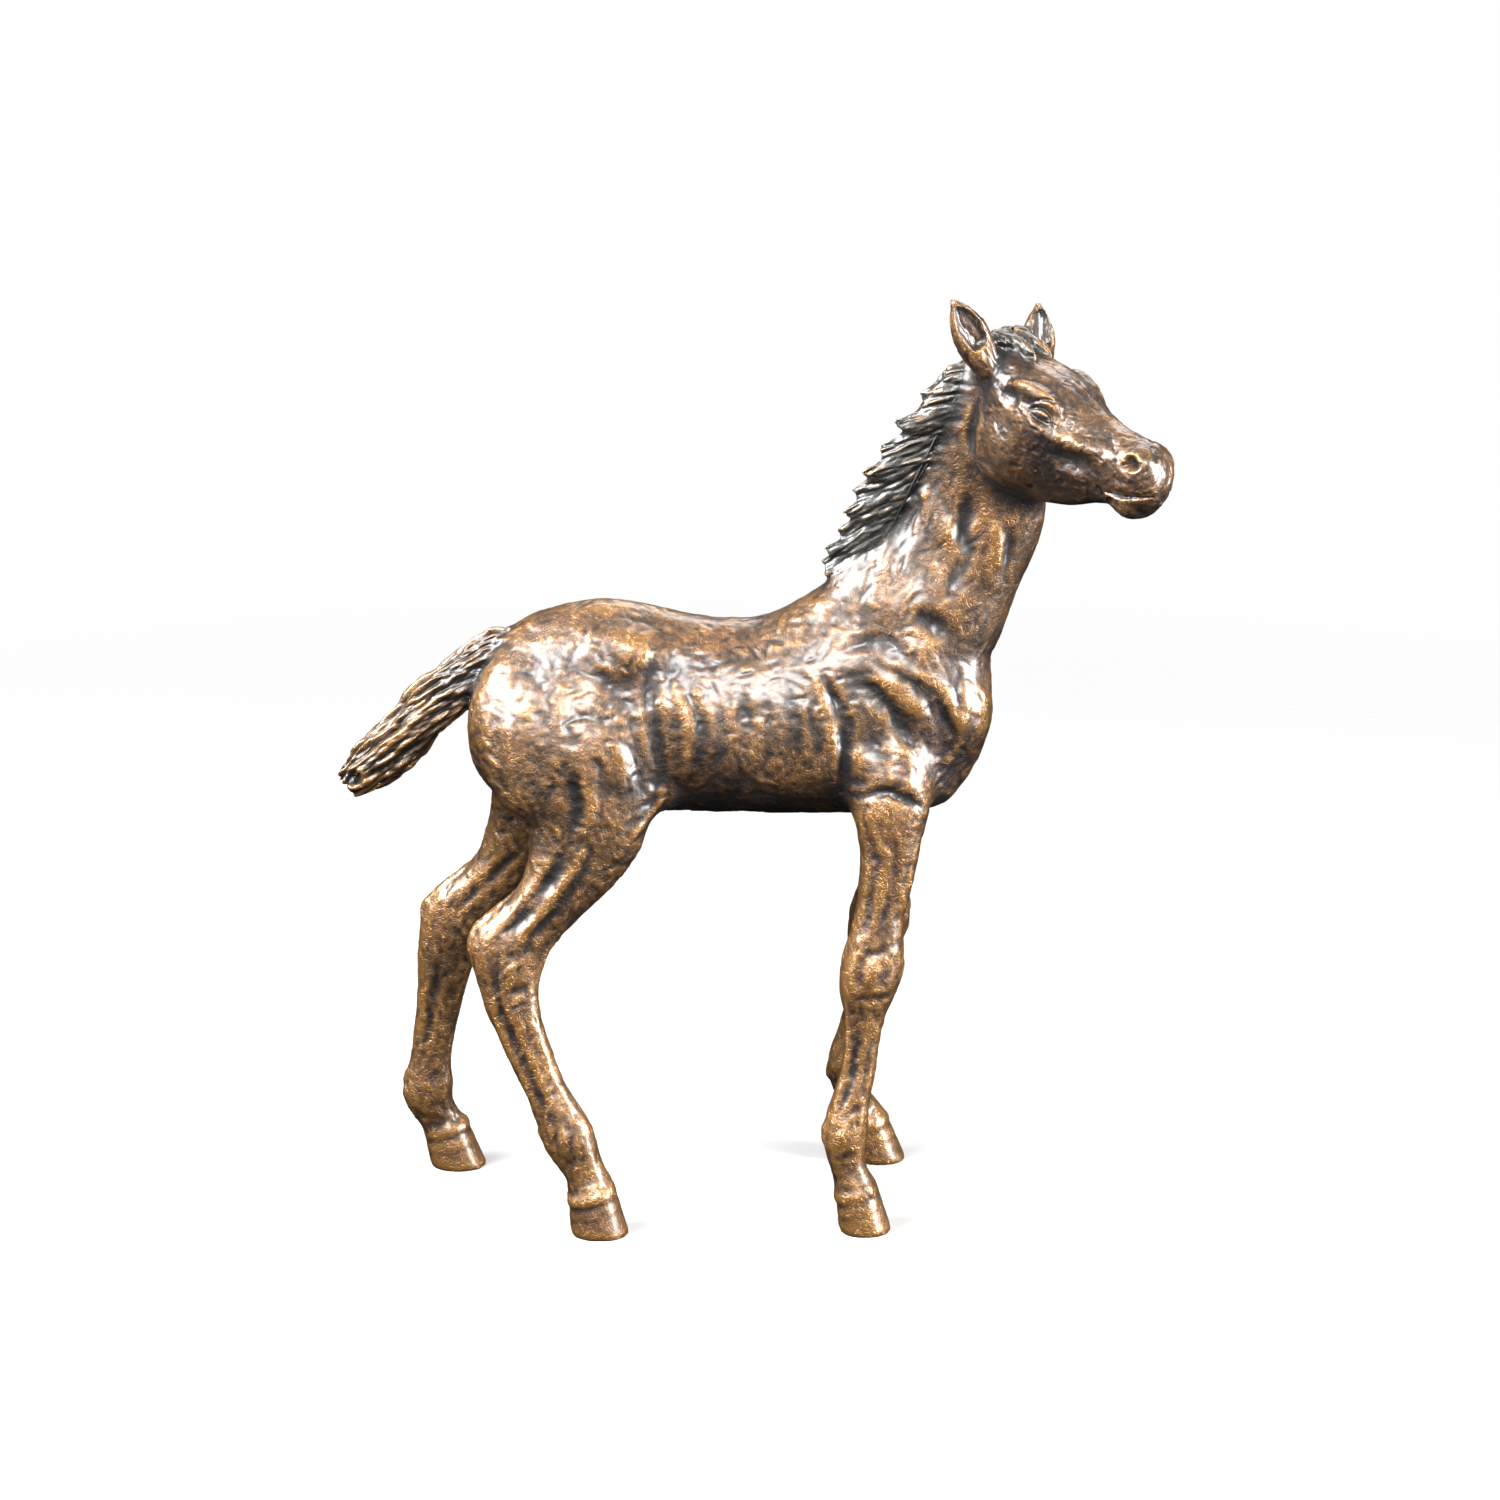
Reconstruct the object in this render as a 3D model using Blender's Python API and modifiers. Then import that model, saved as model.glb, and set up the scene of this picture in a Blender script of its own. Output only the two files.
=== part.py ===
"""Standing bronze foal, built as the castings a foundry pours, pins together and chases smooth.

Frame: +X the way the body faces, +Y the foal's left, +Z up, the origin on the ground under the middle of
the bounding box. Lengths in the tables are millimetres, and MM turns them into Blender's metres.
"""

import math
from collections import namedtuple

import bmesh
import bpy
from mathutils import Matrix, Vector

MM = 0.001

# Driving dimensions, in millimetres
SOLE_CUT = 0.9  # height at which the hooves are cut flat
BELLY_WALL = 3.2  # thickness of the cast bronze round the hollow barrel
SEAM_GAP = 0.3  # left between castings that meet face to face
PIN_GAP = 0.3  # left round a pin or plug in its hole
FUSE_VOXEL = 0.9  # grid on which the modelled masses are fused
FIGURE_TRIANGLES = 6400  # what the fused figure is thinned to

# The planes where the castings are parted
FORELEG_SEAM_Z = 56.5
HINDLEG_SEAM_Z = 53.5
NECK_SEAM_POINT = (25.0, 0.0, 93.5)
NECK_SEAM_TILT = math.radians(20)  # the seam falls towards the breast

# The head is turned to the foal's right and carried nose down
HEAD_ORIGIN = (37.6, -3.2, 133.5)
HEAD_YAW = math.radians(-42)
HEAD_PITCH = math.radians(20.2)

# Pins, dowels, sleeve and plugs: radius and length
LEG_DOWEL = (1.2, 13.0)
TAIL_DOWEL = (1.1, 10.0)
NECK_SLEEVE = (4.2, 15.0)
NECK_SLEEVE_BORE = 3.0
NECK_PIN = (0.8, 12.0)
EAR_PIN = (0.45, 4.6)
MANE_PIN = (0.6, 5.6)
FORELOCK_PIN = (0.5, 4.6)
CORE_PLUG = (1.0, 2.6)
BELLY_PLUG = (4.0, 2.4)

# Cross-section of a mass: half width across, reach above and below the centre line, and pinch, the share
# by which the section narrows towards its top (negative: towards its bottom).
Section = namedtuple("Section", "along above below half pinch", defaults=(0.0,))

# Barrel, from the buttocks to the breast: x, top z, bottom z, half width, pinch
TORSO = (
    (-41.2, 82.0, 73.0, 3.4, 0.0),
    (-39.0, 87.4, 69.0, 6.6, 0.02),
    (-34.6, 91.4, 66.0, 9.0, 0.04),
    (-28.0, 93.9, 64.0, 10.6, 0.06),
    (-22.0, 94.8, 62.6, 11.2, 0.08),
    (-16.0, 94.2, 62.5, 10.9, 0.10),
    (-10.0, 92.7, 62.5, 11.3, 0.12),
    (-4.0, 91.9, 62.4, 11.8, 0.12),
    (2.0, 92.2, 62.2, 11.9, 0.12),
    (8.0, 95.2, 62.1, 11.4, 0.18),
    (14.0, 98.6, 62.1, 10.6, 0.24),
    (20.0, 98.6, 61.9, 9.8, 0.22),
    (26.0, 95.8, 62.2, 9.2, 0.14),
    (31.0, 92.6, 65.6, 8.2, 0.06),
    (34.4, 88.6, 70.6, 6.4, 0.0),
    (36.2, 84.6, 76.4, 3.4, 0.0),
)

# Neck, from inside the shoulders to the poll: centre x, y, z, reach to the throat, reach to the crest,
# half width, pinch towards the crest
NECK = (
    (21.0, 0.0, 86.5, 13.8, 12.4, 8.8, 0.10),
    (24.8, 0.0, 94.0, 13.6, 13.6, 7.8, 0.20),
    (29.0, 0.0, 100.0, 11.4, 11.4, 6.6, 0.26),
    (32.2, -0.4, 106.2, 10.9, 10.4, 5.7, 0.30),
    (34.6, -1.2, 112.6, 10.0, 10.4, 5.2, 0.30),
    (36.2, -2.2, 119.4, 7.8, 9.4, 5.0, 0.26),
    (37.2, -3.0, 126.2, 6.0, 7.6, 4.8, 0.16),
    (37.4, -3.2, 130.8, 4.4, 5.0, 3.8, 0.05),
)
NECK_LEAN = math.radians(21)  # of the neck's sections, towards the throat

# Head in its own frame, from the poll to the lips: distance along, top, bottom, half width, pinch
HEAD = (
    (-3.2, -0.6, -7.4, 3.0, 0.0),
    (-1.0, 0.7, -9.4, 4.8, 0.0),
    (2.0, 1.3, -12.2, 5.8, -0.06),
    (5.0, 1.2, -15.6, 6.5, -0.12),
    (8.0, 1.0, -17.9, 7.0, -0.18),
    (11.5, 0.8, -18.8, 7.3, -0.24),
    (14.5, 0.3, -18.6, 6.8, -0.26),
    (17.5, -0.6, -17.5, 5.7, -0.20),
    (20.5, -1.2, -16.0, 4.8, -0.12),
    (23.5, -1.4, -14.0, 4.3, -0.04),
    (26.5, -1.2, -12.6, 4.3, 0.0),
    (29.5, -1.3, -12.1, 4.4, 0.0),
    (31.8, -2.4, -11.6, 3.8, 0.0),
    (33.4, -4.8, -9.6, 2.4, 0.0),
)

# Limb joints from the body down through the hoof; y is the distance from the middle plane
FORELEG_RIGHT = (
    (21.6, 6.6, 76.0),
    (20.8, 9.4, 66.0),
    (20.3, 10.6, 56.0),
    (18.0, 12.0, 41.2),
    (16.6, 13.4, 27.2),
    (14.4, 14.6, 15.8),
    (15.1, 15.0, 9.8),
    (16.2, 15.2, 6.2),
    (17.6, 15.4, -1.4),
)
FORELEG_LEFT = (
    (21.8, 6.6, 76.0),
    (21.4, 9.4, 66.0),
    (21.4, 10.8, 56.0),
    (19.7, 12.4, 41.2),
    (17.6, 14.0, 27.2),
    (15.6, 15.4, 16.4),
    (16.8, 15.9, 9.8),
    (18.8, 16.1, 6.2),
    (20.9, 16.3, -1.4),
)
HINDLEG_RIGHT = (
    (-27.8, 5.6, 85.0),
    (-27.2, 8.0, 73.0),
    (-25.2, 9.6, 61.5),
    (-35.3, 12.4, 44.0),
    (-33.3, 14.2, 29.8),
    (-26.8, 16.0, 15.6),
    (-24.3, 16.5, 9.8),
    (-23.3, 16.7, 6.2),
    (-22.1, 16.9, -1.4),
)
HINDLEG_LEFT = (
    (-28.8, 5.6, 84.0),
    (-28.4, 8.0, 72.0),
    (-31.5, 9.2, 60.5),
    (-44.3, 10.8, 41.6),
    (-48.3, 11.8, 26.4),
    (-49.9, 12.6, 13.4),
    (-47.9, 13.0, 8.4),
    (-46.8, 13.2, 5.8),
    (-44.9, 13.4, -1.4),
)

# Limb thickness, shared by both sides: joint number, reach forward, reach back, half width
FORELEG_PROFILE = (
    (0.0, 3.6, 3.6, 2.6),
    (0.3, 5.8, 5.6, 4.2),
    (1.0, 6.4, 6.0, 4.6),
    (1.5, 5.3, 4.8, 4.2),
    (2.0, 4.5, 4.1, 3.8),
    (2.5, 4.1, 3.9, 3.5),
    (2.8, 4.7, 4.1, 3.9),
    (3.0, 4.9, 4.6, 4.2),
    (3.25, 4.4, 4.5, 3.9),
    (3.5, 3.0, 3.4, 2.9),
    (4.0, 2.6, 2.8, 2.5),
    (4.5, 2.8, 3.2, 2.7),
    (5.0, 3.4, 3.9, 3.4),
    (5.5, 2.8, 3.1, 3.0),
    (6.0, 2.8, 2.8, 2.9),
    (6.6, 3.4, 3.4, 3.5),
    (7.0, 3.7, 3.7, 3.9),
    (8.0, 4.5, 3.9, 4.5),
)
HINDLEG_PROFILE = (
    (0.0, 5.0, 5.0, 3.4),
    (0.3, 10.4, 10.8, 5.0),
    (0.6, 12.6, 13.2, 6.0),
    (1.0, 13.0, 13.0, 6.6),
    (1.5, 11.8, 11.4, 6.0),
    (2.0, 9.7, 9.0, 5.1),
    (2.5, 6.9, 4.2, 4.1),
    (2.75, 5.9, 4.8, 3.6),
    (2.9, 5.4, 6.4, 3.4),
    (3.05, 4.9, 6.8, 3.4),
    (3.2, 4.6, 5.8, 3.3),
    (3.5, 4.1, 4.7, 2.9),
    (4.0, 3.5, 3.8, 2.6),
    (4.5, 3.3, 3.5, 2.6),
    (4.8, 3.8, 4.1, 3.1),
    (5.0, 4.1, 4.6, 3.4),
    (5.4, 3.2, 3.9, 3.0),
    (6.0, 3.0, 3.4, 2.9),
    (6.5, 3.4, 3.9, 3.5),
    (7.0, 3.8, 4.4, 3.9),
    (8.0, 4.7, 4.6, 4.5),
)
LEVEL_FROM_JOINT = 6.5  # below this joint a limb's sections lie level, for the hoof

# Masses that fill out the body, made on both sides: name, centre, radii, tilt about Y in degrees
MUSCLES = (
    ("point_of_shoulder", (29.6, 4.4, 78.5), (6.2, 4.8, 8.0), 0),
    ("shoulder", (20.5, 5.4, 80.0), (9.0, 5.2, 14.0), 24),
    ("breast", (26.4, 3.6, 69.5), (5.0, 4.4, 6.0), -20),
    ("hip", (-20.0, 5.0, 85.6), (9.0, 5.0, 7.0), 0),
    ("buttock", (-35.8, 4.8, 77.0), (6.4, 5.4, 11.0), 6),
    ("flank", (-17.5, 7.4, 71.0), (7.0, 4.0, 8.5), -20),
)

# The same in the head's frame
HEAD_MASSES = (
    ("jowl", (9.0, 4.0, -10.6), (6.6, 3.0, 6.6), 0),
    ("brow", (10.8, 5.2, -1.7), (4.2, 1.8, 1.4), 6),
    ("eye", (13.2, 5.3, -3.4), (2.3, 1.5, 1.6), 10),
    ("face_crest", (18.6, 4.4, -5.2), (5.8, 1.3, 1.3), 4),
    ("nostril", (29.3, 2.9, -4.0), (2.7, 1.7, 2.3), 0),
    ("lower_lip", (29.4, 1.2, -11.4), (2.8, 1.8, 1.9), -8),
)

TAIL_PATH = (
    (-33.6, 0.0, 88.8),
    (-37.4, 0.0, 88.0),
    (-40.6, 0.0, 85.2),
    (-44.0, 0.0, 81.9),
    (-47.5, 0.0, 78.6),
    (-50.9, 0.0, 75.1),
    (-54.2, 0.0, 71.6),
    (-57.5, 0.0, 68.5),
    (-60.9, 0.0, 66.0),
)
TAIL_RADII = (2.0, 3.1, 3.7, 4.1, 4.4, 4.5, 4.5, 4.1, 2.8)
TAIL_FLATNESS = 0.8  # half width over half depth
TAIL_DOWEL_CENTRE = (-40.0, 0.0, 84.8)
TAIL_DOWEL_WAY = (-0.92, 0.0, -0.4)

# Mane locks down the crest: root x and z, the tip's offset from the root, and the root's half thickness
MANE_LOCKS = (
    (33.0, 131.0, -4.0, -0.6, 3.2),
    (30.6, 128.6, -5.8, -2.4, 3.7),
    (28.2, 125.2, -7.2, -3.4, 3.9),
    (26.4, 122.0, -7.6, -4.2, 3.9),
    (24.4, 119.2, -8.0, -5.0, 3.8),
    (22.4, 116.0, -7.4, -4.8, 3.7),
    (21.4, 112.8, -7.8, -4.8, 3.5),
    (20.2, 109.6, -7.4, -4.4, 3.4),
    (18.6, 106.6, -7.6, -4.2, 3.2),
    (16.8, 103.8, -6.2, -3.6, 2.8),
    (14.8, 101.4, -4.2, -2.6, 2.4),
)
LOCK_SPREAD = 2.3  # half width of the mane across the crest

# Forelock tufts in the head's frame: root along, side and up, then the tip's offset from the root
FORELOCK_TUFTS = (
    (-1.6, -2.2, 0.2, 3.6, -1.0, 1.7),
    (-1.6, -0.2, 0.6, 4.6, 0.2, 1.9),
    (-1.6, 2.0, 0.4, 4.4, 1.0, 1.6),
    (0.6, -1.0, 0.8, 6.0, -0.8, 1.0),
    (0.6, 1.2, 0.8, 6.4, 0.6, 0.8),
)
TUFT_THICKNESS = 1.7

# Ears: root and tip, the way the cup opens, and half width, half thickness along the length
EARS = (
    ("ear_right", (34.8, -7.2, 130.4), (29.2, -9.2, 141.2), (0.35, -0.92, 0.15)),
    ("ear_left", (42.4, 0.4, 128.8), (42.3, 2.6, 138.8), (0.60, -0.77, 0.1)),
)
EAR_PROFILE = (
    (2.0, 1.9),
    (2.4, 1.8),
    (2.8, 1.7),
    (3.0, 1.6),
    (2.6, 1.4),
    (1.7, 1.0),
    (0.4, 0.5),
)
EAR_CUP = (0.68, 0.55)  # the cup's share of the ear's width, and how far it is set towards the opening

# Core pins held the core of the barrel in the mould: x and z of each, on both sides
CORE_PLUGS = ((-13.0, 80.0), (8.0, 80.0))
BELLY_PLUG_X = -4.0

BRONZES = {
    "cast": ((0.20, 0.105, 0.042), 0.34),
    "rod": ((0.42, 0.25, 0.10), 0.45),
    "tube": ((0.36, 0.22, 0.09), 0.5),
    "plug": ((0.27, 0.15, 0.06), 0.4),
}


def blend(values, at):
    """Catmull-Rom value at a place counted in rows, for rows of equal length."""
    last = len(values) - 1
    i = min(int(at), last - 1)
    t = at - i
    p0, p1, p2, p3 = (values[min(max(k, 0), last)] for k in (i - 1, i, i + 1, i + 2))
    return tuple(
        0.5 * (2 * b + (c - a) * t + (2 * a - 5 * b + 4 * c - d) * t**2 + (3 * b - a - 3 * c + d) * t**3)
        for a, b, c, d in zip(p0, p1, p2, p3)
    )


def finer(rows, steps):
    """The rows of a table with smooth rows added between them."""
    count = (len(rows) - 1) * steps
    return [blend(rows, k / steps) for k in range(count + 1)]


def new_object(name, mesh, collection):
    made = bpy.data.objects.new(name, mesh)
    collection.objects.link(made)
    return made


def ring_points(centre, across, upward, half, above, below, pinch, sides):
    """An egg-shaped ring round centre: across and upward are its unit axes."""
    points = []
    for k in range(sides):
        turn = 2 * math.pi * k / sides
        rise = math.sin(turn)
        width = half * math.cos(turn) * (1 - pinch * rise)
        height = rise * (above if rise > 0 else below)
        points.append((Vector(centre) + Vector(across) * width + Vector(upward) * height) * MM)
    return points


def loft(name, rings, collection):
    """A closed skin through rings of equal length, each end closed by a fan."""
    bm = bmesh.new()
    rows = [[bm.verts.new(p) for p in ring] for ring in rings]
    sides = len(rows[0])
    for low, high in zip(rows, rows[1:]):
        for k in range(sides):
            nxt = (k + 1) % sides
            bm.faces.new((low[k], low[nxt], high[nxt], high[k]))
    for row in (rows[0], rows[-1]):
        middle = bm.verts.new(sum((v.co for v in row), Vector()) / sides)
        for k in range(sides):
            bm.faces.new((row[k], row[(k + 1) % sides], middle))
    bmesh.ops.recalc_face_normals(bm, faces=bm.faces)
    mesh = bpy.data.meshes.new(name)
    bm.to_mesh(mesh)
    bm.free()
    return new_object(name, mesh, collection)


def torso_mass(collection):
    rings = []
    for x, top, bottom, half, pinch in finer(TORSO, 3):
        middle = bottom + 0.46 * (top - bottom)
        above, below = top - middle, middle - bottom
        rings.append(ring_points((x, 0, middle), (0, 1, 0), (0, 0, 1), half, above, below, pinch, 32))
    return loft("torso_mass", rings, collection)


def neck_mass(collection):
    crestward = (-math.cos(NECK_LEAN), 0, math.sin(NECK_LEAN))
    rings = [
        ring_points((x, y, z), (0, 1, 0), crestward, half, crest, throat, pinch, 28)
        for x, y, z, throat, crest, half, pinch in finer(NECK, 3)
    ]
    return loft("neck_mass", rings, collection)


def head_frame():
    """Matrix from the head's own frame (along, left, up, in millimetres) to the figure's."""
    turn = Matrix.Rotation(HEAD_YAW, 4, "Z") @ Matrix.Rotation(HEAD_PITCH, 4, "Y")
    return Matrix.Translation(HEAD_ORIGIN) @ turn


def head_mass(collection):
    frame = head_frame()
    across = frame.to_3x3() @ Vector((0, 1, 0))
    upward = frame.to_3x3() @ Vector((0, 0, 1))
    rings = []
    for along, top, bottom, half, pinch in finer(HEAD, 3):
        middle = bottom + 0.6 * (top - bottom)
        centre = frame @ Vector((along, 0, middle))
        rings.append(ring_points(centre, across, upward, half, top - middle, middle - bottom, pinch, 28))
    return loft("head_mass", rings, collection)


def limb_mass(name, joints, side, profile, collection):
    """A leg: a smooth path through the joints with the profile's thickness; side is 1 left, -1 right."""
    path = [(x, side * y, z) for x, y, z in joints]
    rings = []
    for at, forward, back, half in finer(profile, 2):
        centre = Vector(blend(path, at))
        ahead = Vector(blend(path, min(at + 0.1, len(path) - 1)))
        behind = Vector(blend(path, max(at - 0.1, 0)))
        down = (ahead - behind).normalized()
        level = min(max((at - LEVEL_FROM_JOINT) / 0.5, 0), 1)
        down = down.lerp(Vector((0, 0, -1)), level).normalized()
        front = Vector((0, 1, 0)).cross(down).normalized() * -1
        if front.x < 0:
            front = -front
        across = front.cross(down).normalized()
        rings.append(ring_points(centre, across, front, half, forward, back, 0.0, 20))
    return loft(name, rings, collection)


def ellipsoid(name, centre, radii, tilt, frame, collection):
    """An ellipsoid placed in a frame, its tilt about that frame's Y axis."""
    bm = bmesh.new()
    bmesh.ops.create_uvsphere(bm, u_segments=24, v_segments=16, radius=1)
    place = frame @ Matrix.Translation(centre) @ Matrix.Rotation(math.radians(tilt), 4, "Y")
    bm.transform(Matrix.Diagonal((MM, MM, MM)).to_4x4() @ place @ Matrix.Diagonal(radii).to_4x4())
    mesh = bpy.data.meshes.new(name)
    bm.to_mesh(mesh)
    bm.free()
    return new_object(name, mesh, collection)


def modify(obj, kind, **settings):
    modifier = obj.modifiers.new(kind.title(), kind)
    for key, value in settings.items():
        setattr(modifier, key, value)
    return modifier


def applied(obj):
    """Applies the object's modifiers to its mesh."""
    bpy.context.view_layer.update()
    graph = bpy.context.evaluated_depsgraph_get()
    mesh = bpy.data.meshes.new_from_object(obj.evaluated_get(graph))
    obj.modifiers.clear()
    obj.data = mesh
    return obj


def joined(name, objects, collection):
    """One object holding all the objects' meshes, which are removed."""
    bm = bmesh.new()
    for obj in objects:
        bm.from_mesh(obj.data)
        bpy.data.objects.remove(obj)
    mesh = bpy.data.meshes.new(name)
    bm.to_mesh(mesh)
    bm.free()
    return new_object(name, mesh, collection)


def copied(name, obj, collection):
    return new_object(name, obj.data.copy(), collection)


def fused(obj, voxel, smoothing):
    """The object's overlapping masses as one skin."""
    modify(obj, "REMESH", mode="VOXEL", voxel_size=voxel * MM)
    if smoothing:
        modify(obj, "SMOOTH", factor=0.5, iterations=smoothing)
    return applied(obj)


def thinned(obj, triangles):
    """The object's skin reduced to about this many triangles."""
    modify(obj, "TRIANGULATE")
    applied(obj)
    modify(obj, "DECIMATE", ratio=min(1.0, triangles / len(obj.data.polygons)))
    return applied(obj)


def filleted(obj, voxel, reach, polish, collection):
    """Fuses the masses, then fills the hollows between them with a much smoothed copy of the whole."""
    fused(obj, voxel, 2)
    filling = copied("filling", obj, collection)
    modify(filling, "SMOOTH", factor=0.5, iterations=reach)
    applied(filling)
    return fused(joined(obj.name, [obj, filling], collection), voxel, polish)


def cut(obj, operation, cutter):
    modify(obj, "BOOLEAN", operation=operation, object=cutter, solver="EXACT")


def box(name, low, high, turn, collection):
    """A box between two corners, in the frame of turn."""
    bm = bmesh.new()
    bmesh.ops.create_cube(bm, size=1)
    low, high = Vector(low), Vector(high)
    bm.transform(Matrix.Translation((low + high) / 2) @ Matrix.Diagonal(high - low).to_4x4())
    bm.transform(Matrix.Diagonal((MM, MM, MM)).to_4x4() @ turn)
    mesh = bpy.data.meshes.new(name)
    bm.to_mesh(mesh)
    bm.free()
    return new_object(name, mesh, collection)


def rod(name, centre, direction, radius, length, collection, segments=10):
    """A round bar with softened ends, its middle at centre."""
    bm = bmesh.new()
    bmesh.ops.create_cone(
        bm, cap_ends=True, segments=segments, radius1=radius * MM, radius2=radius * MM, depth=length * MM
    )
    turn = Vector(direction).to_track_quat("Z", "Y").to_matrix().to_4x4()
    bm.transform(Matrix.Translation(Vector(centre) * MM) @ turn)
    mesh = bpy.data.meshes.new(name)
    bm.to_mesh(mesh)
    bm.free()
    return new_object(name, mesh, collection)


def figure_mass(collection):
    """The whole foal as one closed skin, before it is parted into castings."""
    masses = [torso_mass(collection), neck_mass(collection), head_mass(collection)]
    limbs = (
        ("foreleg_right_mass", FORELEG_RIGHT, -1, FORELEG_PROFILE),
        ("foreleg_left_mass", FORELEG_LEFT, 1, FORELEG_PROFILE),
        ("hindleg_right_mass", HINDLEG_RIGHT, -1, HINDLEG_PROFILE),
        ("hindleg_left_mass", HINDLEG_LEFT, 1, HINDLEG_PROFILE),
    )
    masses += [limb_mass(name, joints, side, profile, collection) for name, joints, side, profile in limbs]
    for name, (x, y, z), radii, tilt in MUSCLES:
        for side in (-1, 1):
            masses.append(ellipsoid(name, (x, side * y, z), radii, tilt, Matrix.Identity(4), collection))
    for name, (x, y, z), radii, tilt in HEAD_MASSES:
        for side in (-1, 1):
            masses.append(ellipsoid(name, (x, side * y, z), radii, tilt, head_frame(), collection))
    figure = filleted(joined("figure", masses, collection), FUSE_VOXEL, 16, 3, collection)
    return thinned(figure, FIGURE_TRIANGLES)


def at_height(joints, side, z):
    """Where a limb's path crosses a height, and its direction there."""
    path = [(x, side * y, h) for x, y, h in joints]
    low, high = 0.5, len(path) - 2.0
    for _ in range(30):
        middle = (low + high) / 2
        if blend(path, middle)[2] > z:
            low = middle
        else:
            high = middle
    ahead = Vector(blend(path, low + 0.15)) - Vector(blend(path, low - 0.15))
    return Vector(blend(path, low)), ahead.normalized()


def neck_seam_height(x):
    px, _, pz = NECK_SEAM_POINT
    return pz - (x - px) * math.tan(NECK_SEAM_TILT)


def hollow_mass(collection):
    """The hollow of the barrel: its sections drawn in by the wall and kept below the neck's seam."""
    rings = []
    for x, top, bottom, half, pinch in finer(TORSO, 1):
        if not -31 < x < 30.5:
            continue
        end = min(1.0, (x + 31.5) / 4, (31.5 - x) / 4) ** 0.5
        top = min(top - BELLY_WALL, neck_seam_height(x) - BELLY_WALL * 1.4)
        bottom = bottom + BELLY_WALL
        middle = (top + bottom) / 2
        reach = (top - bottom) / 2 * end
        width = (half - BELLY_WALL) * end
        rings.append(ring_points((x, 0, middle), (0, 1, 0), (0, 0, 1), width, reach, reach, pinch, 16))
    return loft("barrel_hollow", rings, collection)


def part_castings(figure, castings, cutters):
    """Parts the figure into torso, four legs, and neck with head."""
    torso = copied("torso", figure, castings)
    legs = (
        ("foreleg_right", 2, 44, -30, -0.5, FORELEG_SEAM_Z),
        ("foreleg_left", 2, 44, 0.5, 30, FORELEG_SEAM_Z),
        ("hindleg_right", -62, -8, -30, -0.5, HINDLEG_SEAM_Z),
        ("hindleg_left", -62, -8, 0.5, 30, HINDLEG_SEAM_Z),
    )
    made = {"torso": torso}
    still = Matrix.Identity(4)
    for name, x0, x1, y0, y1, seam in legs:
        made[name] = copied(name, figure, castings)
        region = box(
            name + "_region", (x0, y0, SOLE_CUT), (x1, y1, seam - SEAM_GAP / 2), still, cutters
        )
        clear = box(name + "_clearance", (x0, y0, -5), (x1, y1, seam + SEAM_GAP / 2), still, cutters)
        cut(made[name], "INTERSECT", region)
        cut(torso, "DIFFERENCE", clear)
    lean = Matrix.Translation(NECK_SEAM_POINT) @ Matrix.Rotation(NECK_SEAM_TILT, 4, "Y")
    made["neck_and_head"] = copied("neck_and_head", figure, castings)
    region = box("neck_region", (-40, -40, SEAM_GAP / 2), (60, 40, 90), lean, cutters)
    clear = box("neck_clearance", (-40, -40, -SEAM_GAP / 2), (60, 40, 90), lean, cutters)
    cut(made["neck_and_head"], "INTERSECT", region)
    cut(torso, "DIFFERENCE", clear)
    cut(torso, "DIFFERENCE", hollow_mass(cutters))
    return made


def pinned(name, centre, direction, size, holes, castings, cutters):
    """A pin or plug, and the hole it sits in, cut from each of the named castings."""
    radius, length = size
    pin = rod(name, centre, direction, radius, length, castings)
    modify(pin, "BEVEL", width=0.15 * MM, segments=1, limit_method="ANGLE")
    hole = rod(name + "_hole", centre, direction, radius + PIN_GAP, length + 2 * PIN_GAP, cutters)
    for casting in holes:
        cut(casting, "DIFFERENCE", hole)
    return pin


def leg_dowels(made, castings, cutters):
    legs = (
        ("foreleg_right", FORELEG_RIGHT, -1, FORELEG_SEAM_Z),
        ("foreleg_left", FORELEG_LEFT, 1, FORELEG_SEAM_Z),
        ("hindleg_right", HINDLEG_RIGHT, -1, HINDLEG_SEAM_Z),
        ("hindleg_left", HINDLEG_LEFT, 1, HINDLEG_SEAM_Z),
    )
    for name, joints, side, seam in legs:
        centre, direction = at_height(joints, side, seam)
        pinned(name + "_dowel", centre, direction, LEG_DOWEL, (made["torso"], made[name]), castings, cutters)


def neck_joint(made, castings, cutters):
    """A tube across the neck's seam, with a cross pin above the seam and one below it."""
    axis = Matrix.Rotation(NECK_SEAM_TILT, 3, "Y") @ Vector((0, 0, 1))
    radius, length = NECK_SLEEVE
    centre = Vector(NECK_SEAM_POINT)
    sleeve = rod("neck_sleeve", centre, axis, radius, length, castings, segments=20)
    bore = rod("neck_sleeve_bore", centre, axis, NECK_SLEEVE_BORE, length + 4, cutters, segments=20)
    cut(sleeve, "DIFFERENCE", bore)
    socket = rod(
        "neck_sleeve_socket", centre, axis, radius + PIN_GAP, length + 2 * PIN_GAP, cutters, segments=28
    )
    cut(made["neck_and_head"], "DIFFERENCE", socket)
    cut(made["torso"], "DIFFERENCE", socket)
    places = (("neck_pin_upper", 4.0, "neck_and_head"), ("neck_pin_lower", -4.0, "torso"))
    for name, along, casting in places:
        pinned(name, centre + axis * along, (0, 1, 0), NECK_PIN, (made[casting], sleeve), castings, cutters)


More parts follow.
